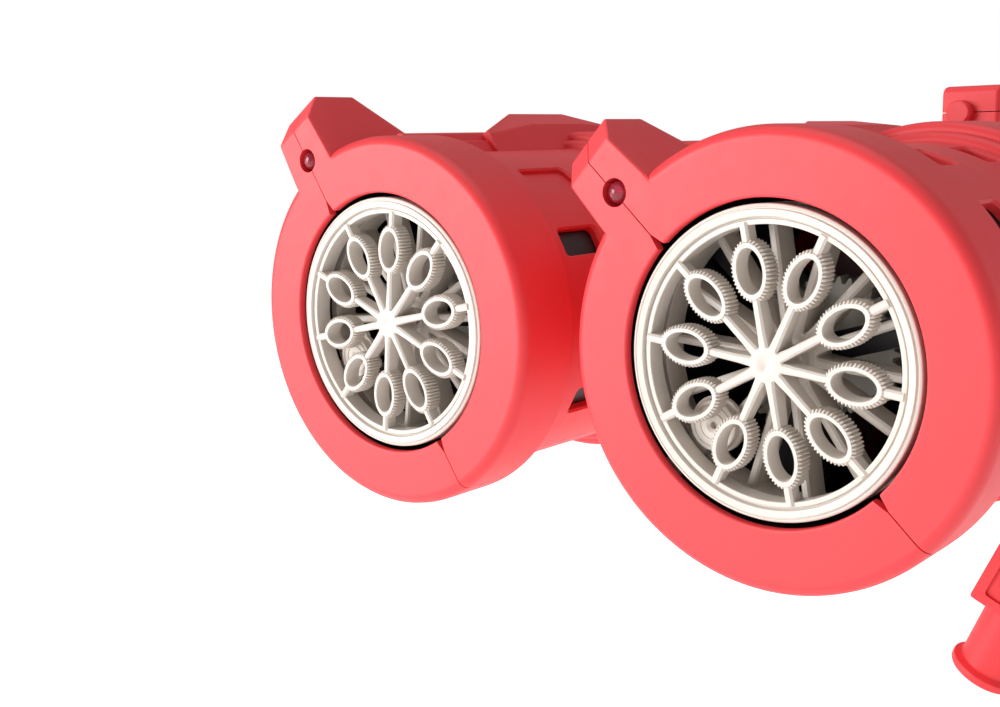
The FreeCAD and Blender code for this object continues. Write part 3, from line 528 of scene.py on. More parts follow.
def casing_body():
    """Ring, body, rear collar with its rounded lip, and the spigot that turns in the housing."""
    return lathe([
        (33.2, -0.8, 0.5),
        (47.2, -0.8, settings().ring_fillet),
        (47.2, 17.6, 0.9),
        (BODY_RADIUS, 17.6, 0.5),
        (BODY_RADIUS, 76.0, 0.7),
        (45.0, 76.0, 1.8),
        (45.0, 80.0, 0.3),
        (47.5, 80.0, 1.8),
        (47.5, 106.0, 1.2),
        (30.0, 106.0),
        (30.0, 114.4),
        (32.5, 114.4, 0.4),
        (32.5, 118.0, 0.6),
        (27.6, 118.0),
        (27.6, 103.6),
        (45.1, 103.6, 1.0),
        (45.1, 82.4),
        (40.1, 82.4),
        (40.1, 15.2, 0.6),
        (44.8, 15.2),
        (44.8, 1.6, 1.0),
        (33.2, 1.6, 0.5),
    ], turns=144)


def section(across, y):
    """A closed section of the pod or the block: half-widths and heights from the foot up."""
    right = [Vector((x, y, z)) for x, z in across]
    return right + [Vector((-point.x, y, point.z)) for point in reversed(right)]


def light_pod():
    """The pod that stands on the ring: a flat face, a ridge and a long slope behind."""
    pod = loft([
        section([(8.2, 38), (8.2, 47.0), (7.4, 57.6), (7.3, 58.6)], -0.8),
        section([(8.2, 38), (8.2, 47.0), (7.4, 61.0), (6.8, 65.2)], 5.4),
        section([(8.2, 38), (8.2, 47.0), (7.4, 61.0), (6.8, 65.2)], 18.6),
        section([(8.2, 38), (8.2, 42.0), (7.6, 46.0), (6.9, 48.5)], 37.0),
    ])
    return soften(pod, 0.6, 3, 12)


def sight_rail():
    """The flat-topped rail along the body, with a ledge on each side."""
    rail = prism("front", mirrored([(21.0, 34.0), (21.0, 40.6, 0.5), (19.6, 41.6, 0.3), (19.6, 44.0, 0.8),
                                    (18.4, 45.2, 0.8)]), 15.6, 84.0)
    return rail


def sight_block():
    """The raised block at the back of the rail, with a line set into its upper faces."""
    bm = bmesh.new()
    stations = ((46.0, 43.2, 22.5), (66.4, 52.5, 17.0), (90.9, 52.5, 17.0), (101.0, 45.6, 21.6))
    rows = []
    for y, top, half in stations:
        low_half = 22.5
        shoulder = min(top, 46.5)
        rows.append([(low_half, y, 34.0), (low_half, y, shoulder - 1.5), (half, y, top), (-half, y, top),
                     (-low_half, y, shoulder - 1.5), (-low_half, y, 34.0)])
    skin(bm, rows, False)
    bmesh.ops.recalc_face_normals(bm, faces=bm.faces)
    upper = [face for face in bm.faces if face.normal.z > 0.4 and abs(face.normal.x) < 0.3]
    for thickness, depth in ((2.4, 0.0), (0.45, -0.55), (0.45, 0.55)):
        bmesh.ops.inset_region(bm, faces=upper, thickness=thickness, depth=depth, use_even_offset=True)
        upper = [face for face in upper if face.is_valid]
    return to_object("sight_block", bm)


def window_tool(angle, width, front, back, depth):
    """A rounded window with a sloped frame, cut square to the body at an angle from the light."""
    floor = BODY_RADIUS - depth
    stations = ((floor, 0.0), (BODY_RADIUS - 0.8, 0.0), (BODY_RADIUS + 0.4, 1.1), (BODY_RADIUS + 8, 1.1))
    sections = []
    for radius, grow in stations:
        half = width / 2 + grow
        corners = [(-half, front - grow, 1.6), (half, front - grow, 1.6), (half, back + grow, 1.6),
                   (-half, back + grow, 1.6)]
        sections.append([Vector((across, along, radius)) for across, along in outline(corners)])
    return moved(loft(sections), Matrix.Rotation(math.radians(angle), 4, "Y"))


def casing_room():
    """The hollow inside the casing, cleared again after the pod, the rail and the block are added."""
    return lathe([(0, 1.62), (44.78, 1.62), (44.78, 15.22), (40.08, 15.22), (40.08, 101), (0, 101)],
                 turns=144)


def casing_shells():
    """Both shells of a barrel's casing, parted along the seam through the light."""
    whole = join(casing_body(), light_pod(),
                 soften(sight_rail(), 0.4, 2, 40),
                 soften(sight_block(), 0.5, 2, 25))
    tools = [casing_room()]
    tools += [window_tool(sign * angle, *rest) for angle, *rest in WINDOWS for sign in (1, -1)]
    tools.append(rod(3.1, (0, -3, LIGHT_HEIGHT), (0, 3.2, LIGHT_HEIGHT)))
    tools.append(rod(2.6, (0, 0, LIGHT_HEIGHT), (0, 12, LIGHT_HEIGHT)))
    for end in (1, -1):
        tools.append(prism("front", [
            (-1.3, end * 32), (1.3, end * 32), (0.2, end * 36.5), (-0.2, end * 36.5),
        ], -3, 4))
    carve(whole, *tools)
    shells = {}
    for label, sign in (("outer", 1), ("inner", -1)):
        edges = sorted((sign * settings().seam, sign * 80))
        room = slab((edges[0], -10, -80), (edges[1], 130, 80))
        shells[label] = shared(copy_of(whole), room)
    discard(whole)
    return shells


class BUBBLE_OT_casings(bpy.types.Operator):
    """Build the two shells of each barrel"""

    bl_idname = "bubble.casings"
    bl_label = "Barrel casings"

    def execute(self, context):
        shells = casing_shells()
        for side in ("left", "right"):
            for label, shell in shells.items():
                place_piece(copy_of(shell), f"{side}_{label}_casing", barrel_matrix(side), side + "_barrel",
                            "coral_plastic", f"{side}_{label}_shell")
        discard(*shells.values())
        return {"FINISHED"}


class BUBBLE_OT_lights(bpy.types.Operator):
    """Build the clear domed light in each ring"""

    bl_idname = "bubble.lights"
    bl_label = "Lights"

    def execute(self, context):
        for side in ("left", "right"):
            dome = lathe([
                (0, -1.1), (2.5, -1.1, 2.4), (2.5, 7.2), (2.9, 7.2, 0.1), (2.9, 8.4, 0.1), (0, 8.4),
            ], turns=48, steps=12)
            moved(dome, Matrix.Translation((0, 0, LIGHT_HEIGHT)))
            place_piece(dome, side + "_light_dome", barrel_matrix(side), side + "_barrel", "clear_lens",
                        side + "_led")
        return {"FINISHED"}


# ---------------------------------------------------------------- wand wheels

WANDS = 10
WAND_CENTRE = 18.9
WAND_HALF = (6.4, 4.4)
LOOP_HALF = (4.5, 2.75)
RIB_HEIGHT = 0.62
SPOKE_HALF = 0.8
SPOKE_DEPTH = 3.6
BACK_WHEEL = 9.5
FINS = 14
FIN_HALF = 0.95
FIN_HUB = 6.2


def even_ellipse(tall, wide, count):
    """Evenly spaced points of an upright ellipse, with the direction square to it at each."""
    fine = 720
    angles = [2 * math.pi * step / fine for step in range(fine + 1)]
    spots = [Vector((wide * math.sin(angle), tall * math.cos(angle))) for angle in angles]
    travelled = [0.0]
    for before, after in zip(spots, spots[1:]):
        travelled.append(travelled[-1] + (after - before).length)
    rows = []
    place = 0
    for number in range(count):
        goal = travelled[-1] * number / count
        while travelled[place + 1] < goal:
            place += 1
        angle = angles[place]
        outward = Vector((tall * math.sin(angle), wide * math.cos(angle))).normalized()
        rows.append((angle, spots[place], outward))
    return rows


def wand_sections(depth):
    """One oval wand, ribbed round its outside, drawn about its own centre from y = 0 back."""
    steps_per_rib = 4
    count = settings().rib_count * steps_per_rib
    rows = []
    for number, (angle, rim, outward) in enumerate(even_ellipse(*WAND_HALF, count)):
        hole = Vector((LOOP_HALF[1] * math.sin(angle), LOOP_HALF[0] * math.cos(angle)))
        rib = rim - outward * RIB_HEIGHT * (1 - abs(math.sin(math.pi * number / steps_per_rib)))
        face = rim - outward * (RIB_HEIGHT + 0.12)
        shape = ((hole, depth), (hole, 0.5), (hole.lerp(face, 0.22), 0.0), (face, 0.0), (rib, 0.55),
                 (rib, depth - 0.35), (face, depth))
        rows.append([Vector((spot.x, y, spot.y)) for spot, y in shape])
    return rows


def bar_sections(stations):
    """A straight bar from the hub outwards. Each station is (radius, half-width, front, back)."""
    rows = []
    for radius, half, front, back in stations:
        ease = min(0.45, half * 0.5)
        shape = ((-half, back), (-half, front + ease), (-half + ease, front), (half - ease, front),
                 (half, front + ease), (half, back))
        rows.append([Vector((x, y, radius)) for x, y in shape])
    return rows


def turned(rows, angle):
    spin = Matrix.Rotation(angle, 3, "Y")
    return [[spin @ point for point in row] for row in rows]


def ring_of(make, count=WANDS):
    """Copies of a set of lofts, spaced evenly about the barrel's axis."""
    return [turned(rows, 2 * math.pi * number / count) for number in range(count) for rows in make]


def wheel_rim(depth):
    """A rounded outer lip, a flat band between two grooves and a step down to the inner band."""
    return lathe([
        (32.0, 0.5, 0.4), (32.0, depth, 0.35), (27.9, depth, 0.35), (27.9, 0.8, 0.25), (28.9, 0.8, 0.1),
        (29.05, 1.3), (29.35, 1.3), (29.5, 0.15, 0.2), (30.9, 0.0, 0.15), (31.05, 0.5), (31.25, 0.5),
        (31.4, 0.25, 0.1),
    ], turns=160, steps=3)


def wheel_hub(depth):
    """A boss whose edge swells out to meet each spoke, with a dimple in its middle."""
    turns = 20 * WANDS
    edge = 4.2
    rings = (
        (0.0, 0.6), (0.6, 0.54), (1.2, 0.36), (1.8, 0.18), (2.4, 0.1), (3.6, 0.15), (edge, 0.5),
        (edge, depth), (0.0, depth),
    )
    rows = []
    for step in range(turns):
        angle = 2 * math.pi * step / turns
        row = []
        for radius, y in rings:
            swollen = radius * (1 + 0.12 * math.cos(WANDS * angle) * (radius / edge) ** 4)
            row.append(Vector((swollen * math.sin(angle), y, swollen * math.cos(angle))))
        rows.append(row)
    return loft(rows, ring=True, name="wheel_hub")


def wand_wheel():
    """A rim, ten ribbed wands on spokes, and a hub."""
    shift = Vector((0, 0, WAND_CENTRE))
    wand = [[point + shift for point in row] for row in wand_sections(4.4)]
    inner = WAND_CENTRE - WAND_HALF[0]
    outer = WAND_CENTRE + WAND_HALF[0]
    spoke = bar_sections([(3.5, 1.05, 0.2, 6.8), (6.4, SPOKE_HALF + 0.1, 0.25, 4.4),
                          (inner + 1.0, SPOKE_HALF, 0.3, SPOKE_DEPTH)])
    stub = bar_sections([(outer - 1.0, SPOKE_HALF + 0.1, 0.3, SPOKE_DEPTH),
                         (28.6, SPOKE_HALF + 0.1, 0.3, SPOKE_DEPTH)])
    wheel = join(wheel_rim(5.6), several(ring_of([wand]), ring=True))
    return join(wheel, several(ring_of([spoke, stub])), wheel_hub(7.0))


def fin_wheel():
    """Deep straight fins between a rim and a bored hub, with a fillet either side of each root."""
    wheel = lathe([(32.0, 0.0, 0.35), (32.0, 7.0, 0.35), (29.6, 7.0, 0.35), (29.6, 0.0, 0.35)], turns=160)
    hub = lathe([
        (1.6, 0.4, 0.3), (1.6, 7.0), (FIN_HUB, 7.0), (FIN_HUB, 0.0, 0.5), (4.6, 0.0, 0.2), (4.4, 1.4, 0.2),
        (2.9, 1.4, 0.2), (2.7, 0.4, 0.2),
    ], turns=84)
    root = FIN_HUB - 0.3
    fin = bar_sections([
        (root, 1.25, 0.1, 6.8), (root + 1.0, FIN_HALF + 0.1, 0.1, 6.8), (root + 2.2, FIN_HALF, 0.1, 6.8),
        (29.2, FIN_HALF, 0.1, 6.8), (30.2, FIN_HALF + 0.7, 0.1, 6.8),
    ])
    fins = moved(several(ring_of([fin], FINS)), Matrix.Rotation(math.pi / FINS, 4, "Y"))
    return moved(join(wheel, fins, hub), Matrix.Translation((0, BACK_WHEEL, 0)))


class BUBBLE_OT_wheels(bpy.types.Operator):
    """Build the wand wheel and the finned wheel of each barrel"""

    bl_idname = "bubble.wheels"
    bl_label = "Wand wheels"

    def execute(self, context):
        front = wand_wheel()
        back = fin_wheel()
        for side in ("left", "right"):
            turn = Matrix.Rotation(math.radians(WHEEL_PHASE[side]), 4, "Y")
            for label, wheel in (("front", front), ("back", back)):
                piece = moved(copy_of(wheel), turn)
                place_piece(piece, f"{side}_{label}_moulded_wheel", barrel_matrix(side), side + "_wheels",
                            "white_plastic", f"{side}_{label}_wheel")
        discard(front, back)
        return {"FINISHED"}


# ---------------------------------------------------------------- feed pads, fans, plates

FEED_ANGLE = math.radians(-88)
FEED_RADIUS = 21.8


def feed_pad():
    """A round pad with rings cut into its face and a hole in the middle."""
    corners = [(0.8, 7.5), (0.8, 6.2), (1.5, 5.7, 0.15)]
    for groove in (2.9, 4.4):
        corners += [(groove - 0.16, 5.7, 0.04), (groove - 0.08, 5.95), (groove + 0.08, 5.95),
                    (groove + 0.16, 5.7, 0.04)]
    corners += [(5.5, 5.7, 0.3), (5.5, 7.5)]
    return moved(lathe(corners, turns=72, steps=3), Matrix.Translation((0, 0, FEED_RADIUS)))


def feed_arm():
    """A lobed plate behind the pad, on a bar to the barrel's wall."""
    arm = lathe([(0, 7.5), (6.2, 7.5, 0.2), (6.2, 8.9, 0.3), (0, 8.9)], turns=72)
    lobes = []
    for number in range(4):
        angle = math.pi / 4 + math.pi / 2 * number
        x, z = 5.6 * math.sin(angle), 5.6 * math.cos(angle)
        lobes.append(rod(1.5, (x, 7.5, z), (x, 8.9, z), turns=24))
    join(arm, *lobes)
    moved(arm, Matrix.Translation((0, 0, FEED_RADIUS)))
    bar = slab((-2.5, 7.5, FEED_RADIUS), (2.5, 8.9, 38.0))
    return soften(join(arm, bar), 0.2, 2, 50)


def blade_sections():
    """One fan blade from its root to its tip, twisting and widening outwards."""
    rows = []
    for step in range(9):
        share = step / 8
        radius = 5.0 + share * 26.2
        chord = 8.5 + 9.5 * share
        lean = math.radians(48 + 20 * share)
        camber = 1.4 * (1 + share)
        row = []
        for sign in (1, -1):
            for place in range(7):
                part = place / 6 if sign > 0 else 1 - place / 6
                along = (part - 0.5) * chord
                lift = (camber * (1 - (2 * part - 1) ** 2)
                        + sign * 0.55 * (1 - (2 * part - 1) ** 4) + sign * 0.08)
                x = along * math.sin(lean) - lift * math.cos(lean)
                y = along * math.cos(lean) + lift * math.sin(lean)
                row.append(Vector((x, 70 + y, radius - 0.08 * abs(x))))
        rows.append(row)
    return rows


def fan():
    """Seven blades on a domed hub with a short shaft behind."""
    blades = several(ring_of([blade_sections()], 7))
    hub = lathe([(0, 64.2), (6.0, 64.2, 2.6), (6.0, 75.9, 0.6), (1.0, 75.9), (1.0, 84.0), (0, 84.0)],
                turns=60, steps=6)
    return join(hub, blades)


class BUBBLE_OT_feed_and_fans(bpy.types.Operator):
    """Build the feed pads, their arms and the fans"""

    bl_idname = "bubble.feed_and_fans"
    bl_label = "Feed pads and fans"

    def execute(self, context):
        turn = Matrix.Rotation(FEED_ANGLE, 4, "Y")
        for side in ("left", "right"):
            matrix = barrel_matrix(side)
            body = side + "_barrel"
            place_piece(moved(feed_pad(), turn), side + "_wetting_pad", matrix, body, "white_plastic",
                        side + "_feed_pad")
            place_piece(moved(feed_arm(), turn), side + "_wetting_arm", matrix, body, "white_plastic",
                        side + "_feed_arm")
            place_piece(fan(), side + "_blower_fan", matrix, side + "_fan", "smoke_plastic", side + "_fan")
        return {"FINISHED"}


# ---------------------------------------------------------------- housing

HOUSE_FRONT = 106.6
HOUSE_TOP = 44.0
HOUSE_BOTTOM = -44.0
TAIL_BACK = 437.0
TAIL_TOP = 20.0
TAIL_BOTTOM = -34.0
WALL = 2.4
BARREL_ACROSS = 54.3


def house_plan(inset):
    return mirrored([
        (96.0 - inset, HOUSE_FRONT + inset),
        (96.0 - inset, 190.0 - inset * 0.3, 24),
        (48.0 - inset * 0.7, 236.0 - inset, 30),
        (26.0 - inset, 258.0 - inset * 0.5, 24),
        (26.0 - inset, TAIL_BACK - inset),
    ])


def house_side(inset):
    return [
        (HOUSE_FRONT + inset, HOUSE_BOTTOM + inset),
        (HOUSE_FRONT + inset, HOUSE_TOP - inset),
        (200.0 - inset * 0.3, HOUSE_TOP - inset, 40),
        (240.0 - inset * 0.3, TAIL_TOP - inset, 40),
        (TAIL_BACK - inset, TAIL_TOP - inset),
        (TAIL_BACK - inset, TAIL_BOTTOM + inset),
        (390.0 - inset * 0.5, TAIL_BOTTOM + inset, 4),
        (384.0 - inset * 0.5, HOUSE_BOTTOM + inset, 4),
    ]


def house_form(inset):
    plan = prism("plan", house_plan(inset), HOUSE_BOTTOM + inset, HOUSE_TOP - inset, steps=6)
    return shared(plan, prism("side", house_side(inset), -100, 100, steps=6))


def vent(x):
    half = 1.5
    corners = [(x - half, 126, half * 0.95), (x + half, 126, half * 0.95), (x + half, 172, half * 0.95),
               (x - half, 172, half * 0.95)]
    return prism("plan", corners, 34, 60)


def parting_groove():
    """A shallow groove round the housing where its two halves meet."""
    band = prism("plan", [(-120, 90), (120, 90), (120, 460), (-120, 460)], -0.3, 0.3)
    core = prism("plan", house_plan(0.7), -2, 2, steps=6)
    return carve(band, core)


def strap_eye():
    eye = prism("side", [(435, 2), (435, 18), (443, 16, 3), (445, 10, 3), (443, 4, 3)], -3, 3)
    return soften(eye, 0.6, 2)


def housing_halves():
    house = soften(house_form(0), settings().edge, 4, 25, clamp=False)
    join(house, strap_eye())
    tools = [house_form(WALL), parting_groove(), rod(2.6, (-10, 440.6, 10), (10, 440.6, 10), "X")]
    for sign in (-1, 1):
        x = sign * BARREL_ACROSS
        tools.append(rod(30.1, (x, 100, 0), (x, 122, 0), turns=96))
        tools += [vent(sign * (24 + 10 * number)) for number in range(5)]
    tools.append(rod(17.1, (0, 150, -60), (0, 150, -30), "Z", 72))
    tools.append(rod(5.3, (0, 425, -12), (0, 445, -12)))
    tools.append(slab((-22, 392, -40), (22, 433, -30)))
    for x, y in ((84, 128), (-84, 128), (34, 190), (-34, 190)):
        tools.append(rod(2.9, (x, y, -50), (x, y, -30), "Z"))
    carve(house, *tools)
    halves = {
        "top": shared(copy_of(house), slab((-120, 90, 0.05), (120, 460, 60))),
        "bottom": shared(copy_of(house), slab((-120, 90, -60), (120, 460, -0.05))),
    }
    discard(house)
    return halves


class BUBBLE_OT_housing(bpy.types.Operator):
    """Build the two halves of the housing behind the barrels"""

    bl_idname = "bubble.housing"
    bl_label = "Housing"

    def execute(self, context):
        for label, half in housing_halves().items():
            place_piece(half, "housing_" + label + "_shell", machine_matrix(), "frame", "coral_plastic",
                        "housing_" + label)
        return {"FINISHED"}


# ---------------------------------------------------------------- handles and grips

HANDLE_HALF = 10.5
HANDLE_SPLIT = 52.0


def handle_arch():
    arch = prism("side", [
        (243, 46, 1.5), (243, 61.5, 3), (362, 61.5, 10), (362, 20), (346, 20), (346, 46, 6), (268, 46, 6),
        (268, 20), (252, 20), (252, 46, 2),
    ], -HANDLE_HALF, HANDLE_HALF, steps=5)
    return soften(arch, 2.2, 4, 30)


class BUBBLE_OT_carry_handle(bpy.types.Operator):
    """Build the carry handle over the tail"""

    bl_idname = "bubble.carry_handle"
    bl_label = "Carry handle"

    def execute(self, context):
        arch = handle_arch()
        pin = soften(rod(4.35, (-3, 239, HANDLE_SPLIT), (-3, 249, HANDLE_SPLIT)), 0.7, 3, 40)
        seat = rod(4.4, (-3, 230, HANDLE_SPLIT), (-3, 254, HANDLE_SPLIT))
        top = shared(copy_of(arch), slab((-40, 230, HANDLE_SPLIT + 0.15), (40, 380, 80)))
        base = shared(arch, slab((-40, 230, 0), (40, 380, HANDLE_SPLIT - 0.15)))
        carve(top, seat)
        ribs = [soften(prism("side", [(y, 61.0), (y + 1.6, 61.0), (y + 1.6, 61.5), (y, 61.5)], -6, 6), 0.2, 1)
                for y in range(276, 342, 5)]
        join(top, *ribs)
        join(base, pin)
        place_piece(top, "handle_cap", machine_matrix(), "frame", "coral_plastic", "carry_handle_top")
        place_piece(base, "handle_frame", machine_matrix(), "frame", "coral_plastic", "carry_handle_base")
        return {"FINISHED"}


def grip_form():
    grip = prism("side", [
        (316, -44), (384, -44), (384, -76, 8), (378, -84, 10), (376, -158, 4), (340, -158, 4), (336, -98, 14),
        (328, -92, 10), (328, -58, 4), (316, -58, 4),
    ], -15, 15, steps=6)
    soften(grip, 4.5, 4, 30)
    scallops = []
    for height in (-112, -131):
        scallops.append(rod(11, (-30, 328.5 + (-98 - height) * 0.067, height),
                            (30, 328.5 + (-98 - height) * 0.067, height), "X", 64))
    return carve(grip, *scallops)


def grip_panel(sign):
    """Slanted ribs set into a shallow panel on the side of the grip."""
    x = sign * 15
    outline_points = [(346, -100, 3), (369, -96, 3), (369, -148, 3), (348, -148, 3)]
    pocket = prism("side", outline_points, x - 0.7, x + 0.7, steps=5)
    ribs = []
    for number in range(9):
        z = -144 + 5 * number
        ribs.append(prism("side", [(349, z), (367, z + 2.5), (367, z + 4.2), (349, z + 1.7)],
                          *sorted((x - sign * 1.2, x - sign * 0.05))))
    return pocket, ribs


CANT = math.radians(24.5)
CANT_CORNER = (37.4, 160.0, -99.5)
CANT_WIDTH = 26.0
CANT_DEPTH = 30.0


def side_grip():
    """A canted box with a panel set into its face, and a round shaft with a lip below it."""
    block = soften(slab((0, 0, 0), (CANT_WIDTH, CANT_DEPTH, 84)), 1.0, 3)
    panel = prism("front", [
        (3.6, 3.6, 1.2), (CANT_WIDTH - 3.6, 3.6, 1.2), (CANT_WIDTH - 3.6, 60, 1.2), (3.6, 60, 1.2),
    ], -1, 1.1)
    inner = prism("front", [
        (6.4, 6.4, 1), (CANT_WIDTH - 6.4, 6.4, 1), (CANT_WIDTH - 6.4, 57, 1), (6.4, 57, 1),
    ], 0.5, 1.6)
    shaft_radius = CANT_WIDTH / 2 - 3.2
    shaft = lathe([(0, 2), (shaft_radius, 2), (shaft_radius, -2), (shaft_radius - 0.6, -23, 1.2),
                   (shaft_radius + 1.5, -24.5, 0.6), (shaft_radius + 1.5, -27.5, 1.4), (0, -27.5)], "Z", 72)
    moved(shaft, Matrix.Translation((CANT_WIDTH / 2, CANT_DEPTH / 2, 0)))
    carve(block, panel)
    join(block, soften(inner, 0.3, 2), shaft)
    moved(block, Matrix.Translation(CANT_CORNER) @ Matrix.Rotation(CANT, 4, "Y"))
    return shared(block, slab((0, 120, -200), (160, 240, HOUSE_BOTTOM - 0.1)))


class BUBBLE_OT_grips(bpy.types.Operator):
    """Build the hand grip's halves and the canted side grip"""

    bl_idname = "bubble.grips"
    bl_label = "Grips"

    def execute(self, context):
        grip = grip_form()
        for sign in (-1, 1):
            pocket, ribs = grip_panel(sign)
            carve(grip, pocket)
            join(grip, *ribs)
        carve(grip, slab((-5.4, 322, -80.4), (5.4, 334, -65.6)))
        for label, low, high in (("left", -30, -0.12), ("right", 0.12, 30)):
            half = shared(copy_of(grip), slab((low, 300, -170), (high, 400, -40)))
            place_piece(half, f"hand_grip_{label}", machine_matrix(), "frame", "coral_plastic",
                        "grip_" + label)
        discard(grip)
        place_piece(side_grip(), "canted_grip", machine_matrix(), "frame", "coral_plastic", "side_grip")
        return {"FINISHED"}


class BUBBLE_OT_controls(bpy.types.Operator):
    """Build the trigger, the light button and the battery door"""

    bl_idname = "bubble.controls"
    bl_label = "Trigger, button and door"

    def execute(self, context):
        matrix = machine_matrix()
        pull = prism("side", [
            (309.5, -62, 1.5), (317, -61), (317, -66), (334, -66), (334, -80), (317, -80), (317, -85),
            (312, -90, 1.5), (308, -88, 1.5), (311, -75, 16),
        ], -5, 5, steps=6)
        stop = slab((-5, 330.8, -83), (5, 333.8, -63))
        place_piece(join(soften(pull, 1.0, 3, 35), stop), "finger_trigger", matrix, "trigger",
                    "white_plastic", "trigger")
        cap = lathe([(0, 441), (5.0, 441), (5.0, 448, 1.2), (3.6, 448, 0.6), (3.0, 447.4, 0.6), (0, 447.4)],
                    turns=64)
        flange = lathe([(0, 441), (6.5, 441), (6.5, 442.2), (0, 442.2)], turns=64)
        # the cap's tail reaches back inside the housing
        moved(cap, Matrix.Translation((0, -8.0, -12)))
        moved(flange, Matrix.Translation((0, -8.0, -12)))
        place_piece(join(cap, flange), "light_push_button", matrix, "light_button", "white_plastic",
                    "light_button")
        door = soften(slab((-21.6, 392.4, -34), (21.6, 432.6, -31.6)), 0.5, 2)
        ribs = [soften(slab((-9, y, -35.2), (9, y + 1.2, -33.8)), 0.35, 2) for y in (421, 423.6, 426.2)]
        place_piece(join(door, *ribs), "battery_cover", matrix, "battery_door", "coral_plastic",
                    "battery_door")
        return {"FINISHED"}


class BUBBLE_OT_bottle(bpy.types.Operator):
    """Build the liquid bottle and the socket that it screws into"""

    bl_idname = "bubble.bottle"
    bl_label = "Bottle and socket"

    def execute(self, context):
        spot = machine_matrix() @ Matrix.Translation((0, 150 * MILLIMETRE, 0))
        jar = lathe([
            (0, -87.6, 0), (4, -88.4, 3), (16, -89, 1), (22, -89, 3.5), (22, -66, 5), (13.6, -58.6, 1.5),
            (13.6, -46, 0.4), (12.1, -46), (12.1, -59.2, 1), (20.5, -66.6, 4), (20.5, -87.5, 3), (0, -86.1),
        ], "Z", 96, 5)
        place_piece(jar, "liquid_bottle", spot, "bottle", "bottle_plastic", "bottle")
        ring = lathe([
            (13.9, -58, 0.4), (17.0, -58, 1.0), (17.0, -41.6), (20, -41.6), (20, -40, 0.3), (2, -40),
            (2, -44), (13.9, -44),
        ], "Z", 96)
        place_piece(ring, "screw_socket", spot, "frame", "white_plastic", "bottle_socket")
        return {"FINISHED"}


# ---------------------------------------------------------------- carried-over pieces


class BUBBLE_OT_carried_parts(bpy.types.Operator):
    """Give every part that keeps its engineering shape its finish"""

    bl_idname = "bubble.carried_parts"
    bl_label = "Inner parts"

    def execute(self, context):
        slots = {part["node"]: part["material_slot"] for part in frame["record"]["subparts"]}
        for name, node in frame["nodes"].items():
            finish = material(slots[name])
            if not node.material_slots:
                node.data.materials.append(finish)
            for slot in node.material_slots:
                slot.material = finish
        return {"FINISHED"}


# ---------------------------------------------------------------- stage

CAMERA_FROM_WHEELS = Vector((0.1758, -0.2161, 0.0445))
CAMERA_AZIMUTH = math.radians(41.55)
CAMERA_ELEVATION = math.radians(9.57)
CAMERA_ROLL = math.radians(1.32)


def area_light(name, place, target, size, power, colour=(1, 1, 1)):
    data = bpy.data.lights.new(name, "AREA")
    data.shape = "DISK"
    data.size = size
    data.energy = power
    data.color = colour
    lamp = bpy.data.objects.new(name, data)
    lamp.location = place
    aim = Vector(target) - Vector(place)
    lamp.rotation_mode = "QUATERNION"
    lamp.rotation_quaternion = aim.to_track_quat("-Z", "Y")
    bpy.context.scene.collection.objects.link(lamp)


def add_backdrop_glow(tree, light):
    """The backdrop shows white behind the machine, and lights it less than it shows."""
    glow = tree.nodes.new("ShaderNodeBackground")
    glow.inputs["Color"].default_value = (1.0, 1.0, 1.0, 1.0)
    path = tree.nodes.new("ShaderNodeLightPath")
    mix = tree.nodes.new("ShaderNodeMixShader")
    tree.links.new(path.outputs["Is Camera Ray"], mix.inputs["Fac"])
    tree.links.new(light.outputs["Background"], mix.inputs[1])
    tree.links.new(glow.outputs["Background"], mix.inputs[2])
    tree.links.new(mix.outputs["Shader"], tree.nodes["World Output"].inputs["Surface"])


def add_camera():
    back = Vector((math.sin(CAMERA_AZIMUTH) * math.cos(CAMERA_ELEVATION),
                   -math.cos(CAMERA_AZIMUTH) * math.cos(CAMERA_ELEVATION), math.sin(CAMERA_ELEVATION)))
    right = (-back).cross(Vector((0, 0, 1))).normalized()
    up = back.cross(right)
    across = right * math.cos(CAMERA_ROLL) - up * math.sin(CAMERA_ROLL)
    upright = up * math.cos(CAMERA_ROLL) + right * math.sin(CAMERA_ROLL)
    turn = Matrix((across, upright, back)).transposed()
    data = bpy.data.cameras.new("studio_camera")
    data.lens = 44.75
    data.sensor_width = 36.0
    data.clip_start = 0.01
    camera = bpy.data.objects.new("studio_camera", data)
    spot = machine_matrix().translation + CAMERA_FROM_WHEELS
    camera.matrix_world = Matrix.Translation(spot) @ turn.to_4x4()
    bpy.context.scene.collection.objects.link(camera)
    bpy.context.scene.camera = camera


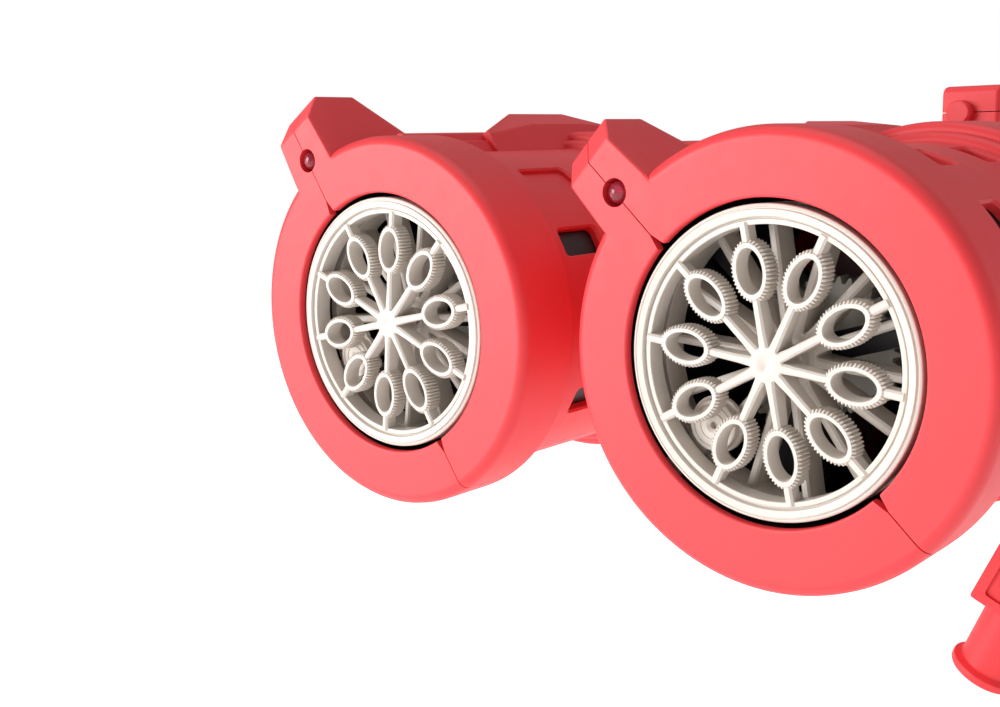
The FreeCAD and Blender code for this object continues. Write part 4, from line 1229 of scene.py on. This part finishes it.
class BUBBLE_OT_stage(bpy.types.Operator):
    """Set up the floor, the lights and the camera"""

    bl_idname = "bubble.stage"
    bl_label = "Studio"

    def execute(self, context):
        ground = CAD_LOW.z - 0.002
        reach = 6.0
        bm = bmesh.new()
        bmesh.ops.create_grid(bm, x_segments=8, y_segments=8, size=reach)
        floor = to_object("studio_floor", bm)
        floor.location.z = ground
        floor.data.materials.append(material("studio_floor"))
        world = bpy.data.worlds.new("studio_world")
        world.use_nodes = True
        light = world.node_tree.nodes["Background"]
        light.inputs["Color"].default_value = (1.0, 1.0, 1.0, 1.0)
        light.inputs["Strength"].default_value = 0.36
        add_backdrop_glow(world.node_tree, light)
        context.scene.world = world
        context.scene.view_settings.view_transform = "Standard"
        heart = (CAD_LOW + CAD_HIGH) / 2
        heart.y = CAD_LOW.y
        area_light("key_light", heart + Vector((-0.85, -0.98, 0.35)), heart, 0.9, 19)
        area_light("top_light", heart + Vector((0.0, 0.2, 1.4)), heart, 1.2, 4.5)
        add_camera()
        return {"FINISHED"}


# ---------------------------------------------------------------- add-on


class BUBBLE_PT_panel(bpy.types.Panel):
    """Lists the builders of the bubble machine"""

    bl_idname = "BUBBLE_PT_panel"
    bl_label = "Bubble Machine"
    bl_space_type = "VIEW_3D"
    bl_region_type = "UI"
    bl_category = "Bubble Machine"

    def draw(self, context):
        layout = self.layout
        values = context.scene.bubble_machine
        for name in ("coral", "ivory", "smoke", "floor_colour", "rib_count", "ring_fillet", "seam", "edge"):
            layout.prop(values, name)
        for operator in OPERATORS:
            layout.operator(operator.bl_idname)


class BUBBLE_OT_materials(bpy.types.Operator):
    """Make the finishes that the pieces use"""

    bl_idname = "bubble.materials"
    bl_label = "Materials"

    def execute(self, context):
        for make in MATERIALS:
            make(context.scene.bubble_machine)
        return {"FINISHED"}


OPERATORS = (
    BUBBLE_OT_materials, BUBBLE_OT_stage, BUBBLE_OT_carried_parts, BUBBLE_OT_casings, BUBBLE_OT_lights,
    BUBBLE_OT_wheels, BUBBLE_OT_feed_and_fans, BUBBLE_OT_housing, BUBBLE_OT_carry_handle,
    BUBBLE_OT_grips, BUBBLE_OT_controls, BUBBLE_OT_bottle,
)
CLASSES = (MachineSettings,) + OPERATORS + (BUBBLE_PT_panel,)


def register():
    for item in CLASSES:
        bpy.utils.register_class(item)
    bpy.types.Scene.bubble_machine = PointerProperty(type=MachineSettings)


def unregister():
    del bpy.types.Scene.bubble_machine
    for item in reversed(CLASSES):
        bpy.utils.unregister_class(item)


def main():
    register()
    bpy.ops.bubble.materials()
    bpy.ops.bubble.stage()
    bpy.ops.bubble.carried_parts()
    bpy.ops.bubble.casings()
    bpy.ops.bubble.lights()
    bpy.ops.bubble.wheels()
    bpy.ops.bubble.feed_and_fans()
    bpy.ops.bubble.housing()
    bpy.ops.bubble.carry_handle()
    bpy.ops.bubble.grips()
    bpy.ops.bubble.controls()
    bpy.ops.bubble.bottle()


if __name__ == "__main__":
    main()
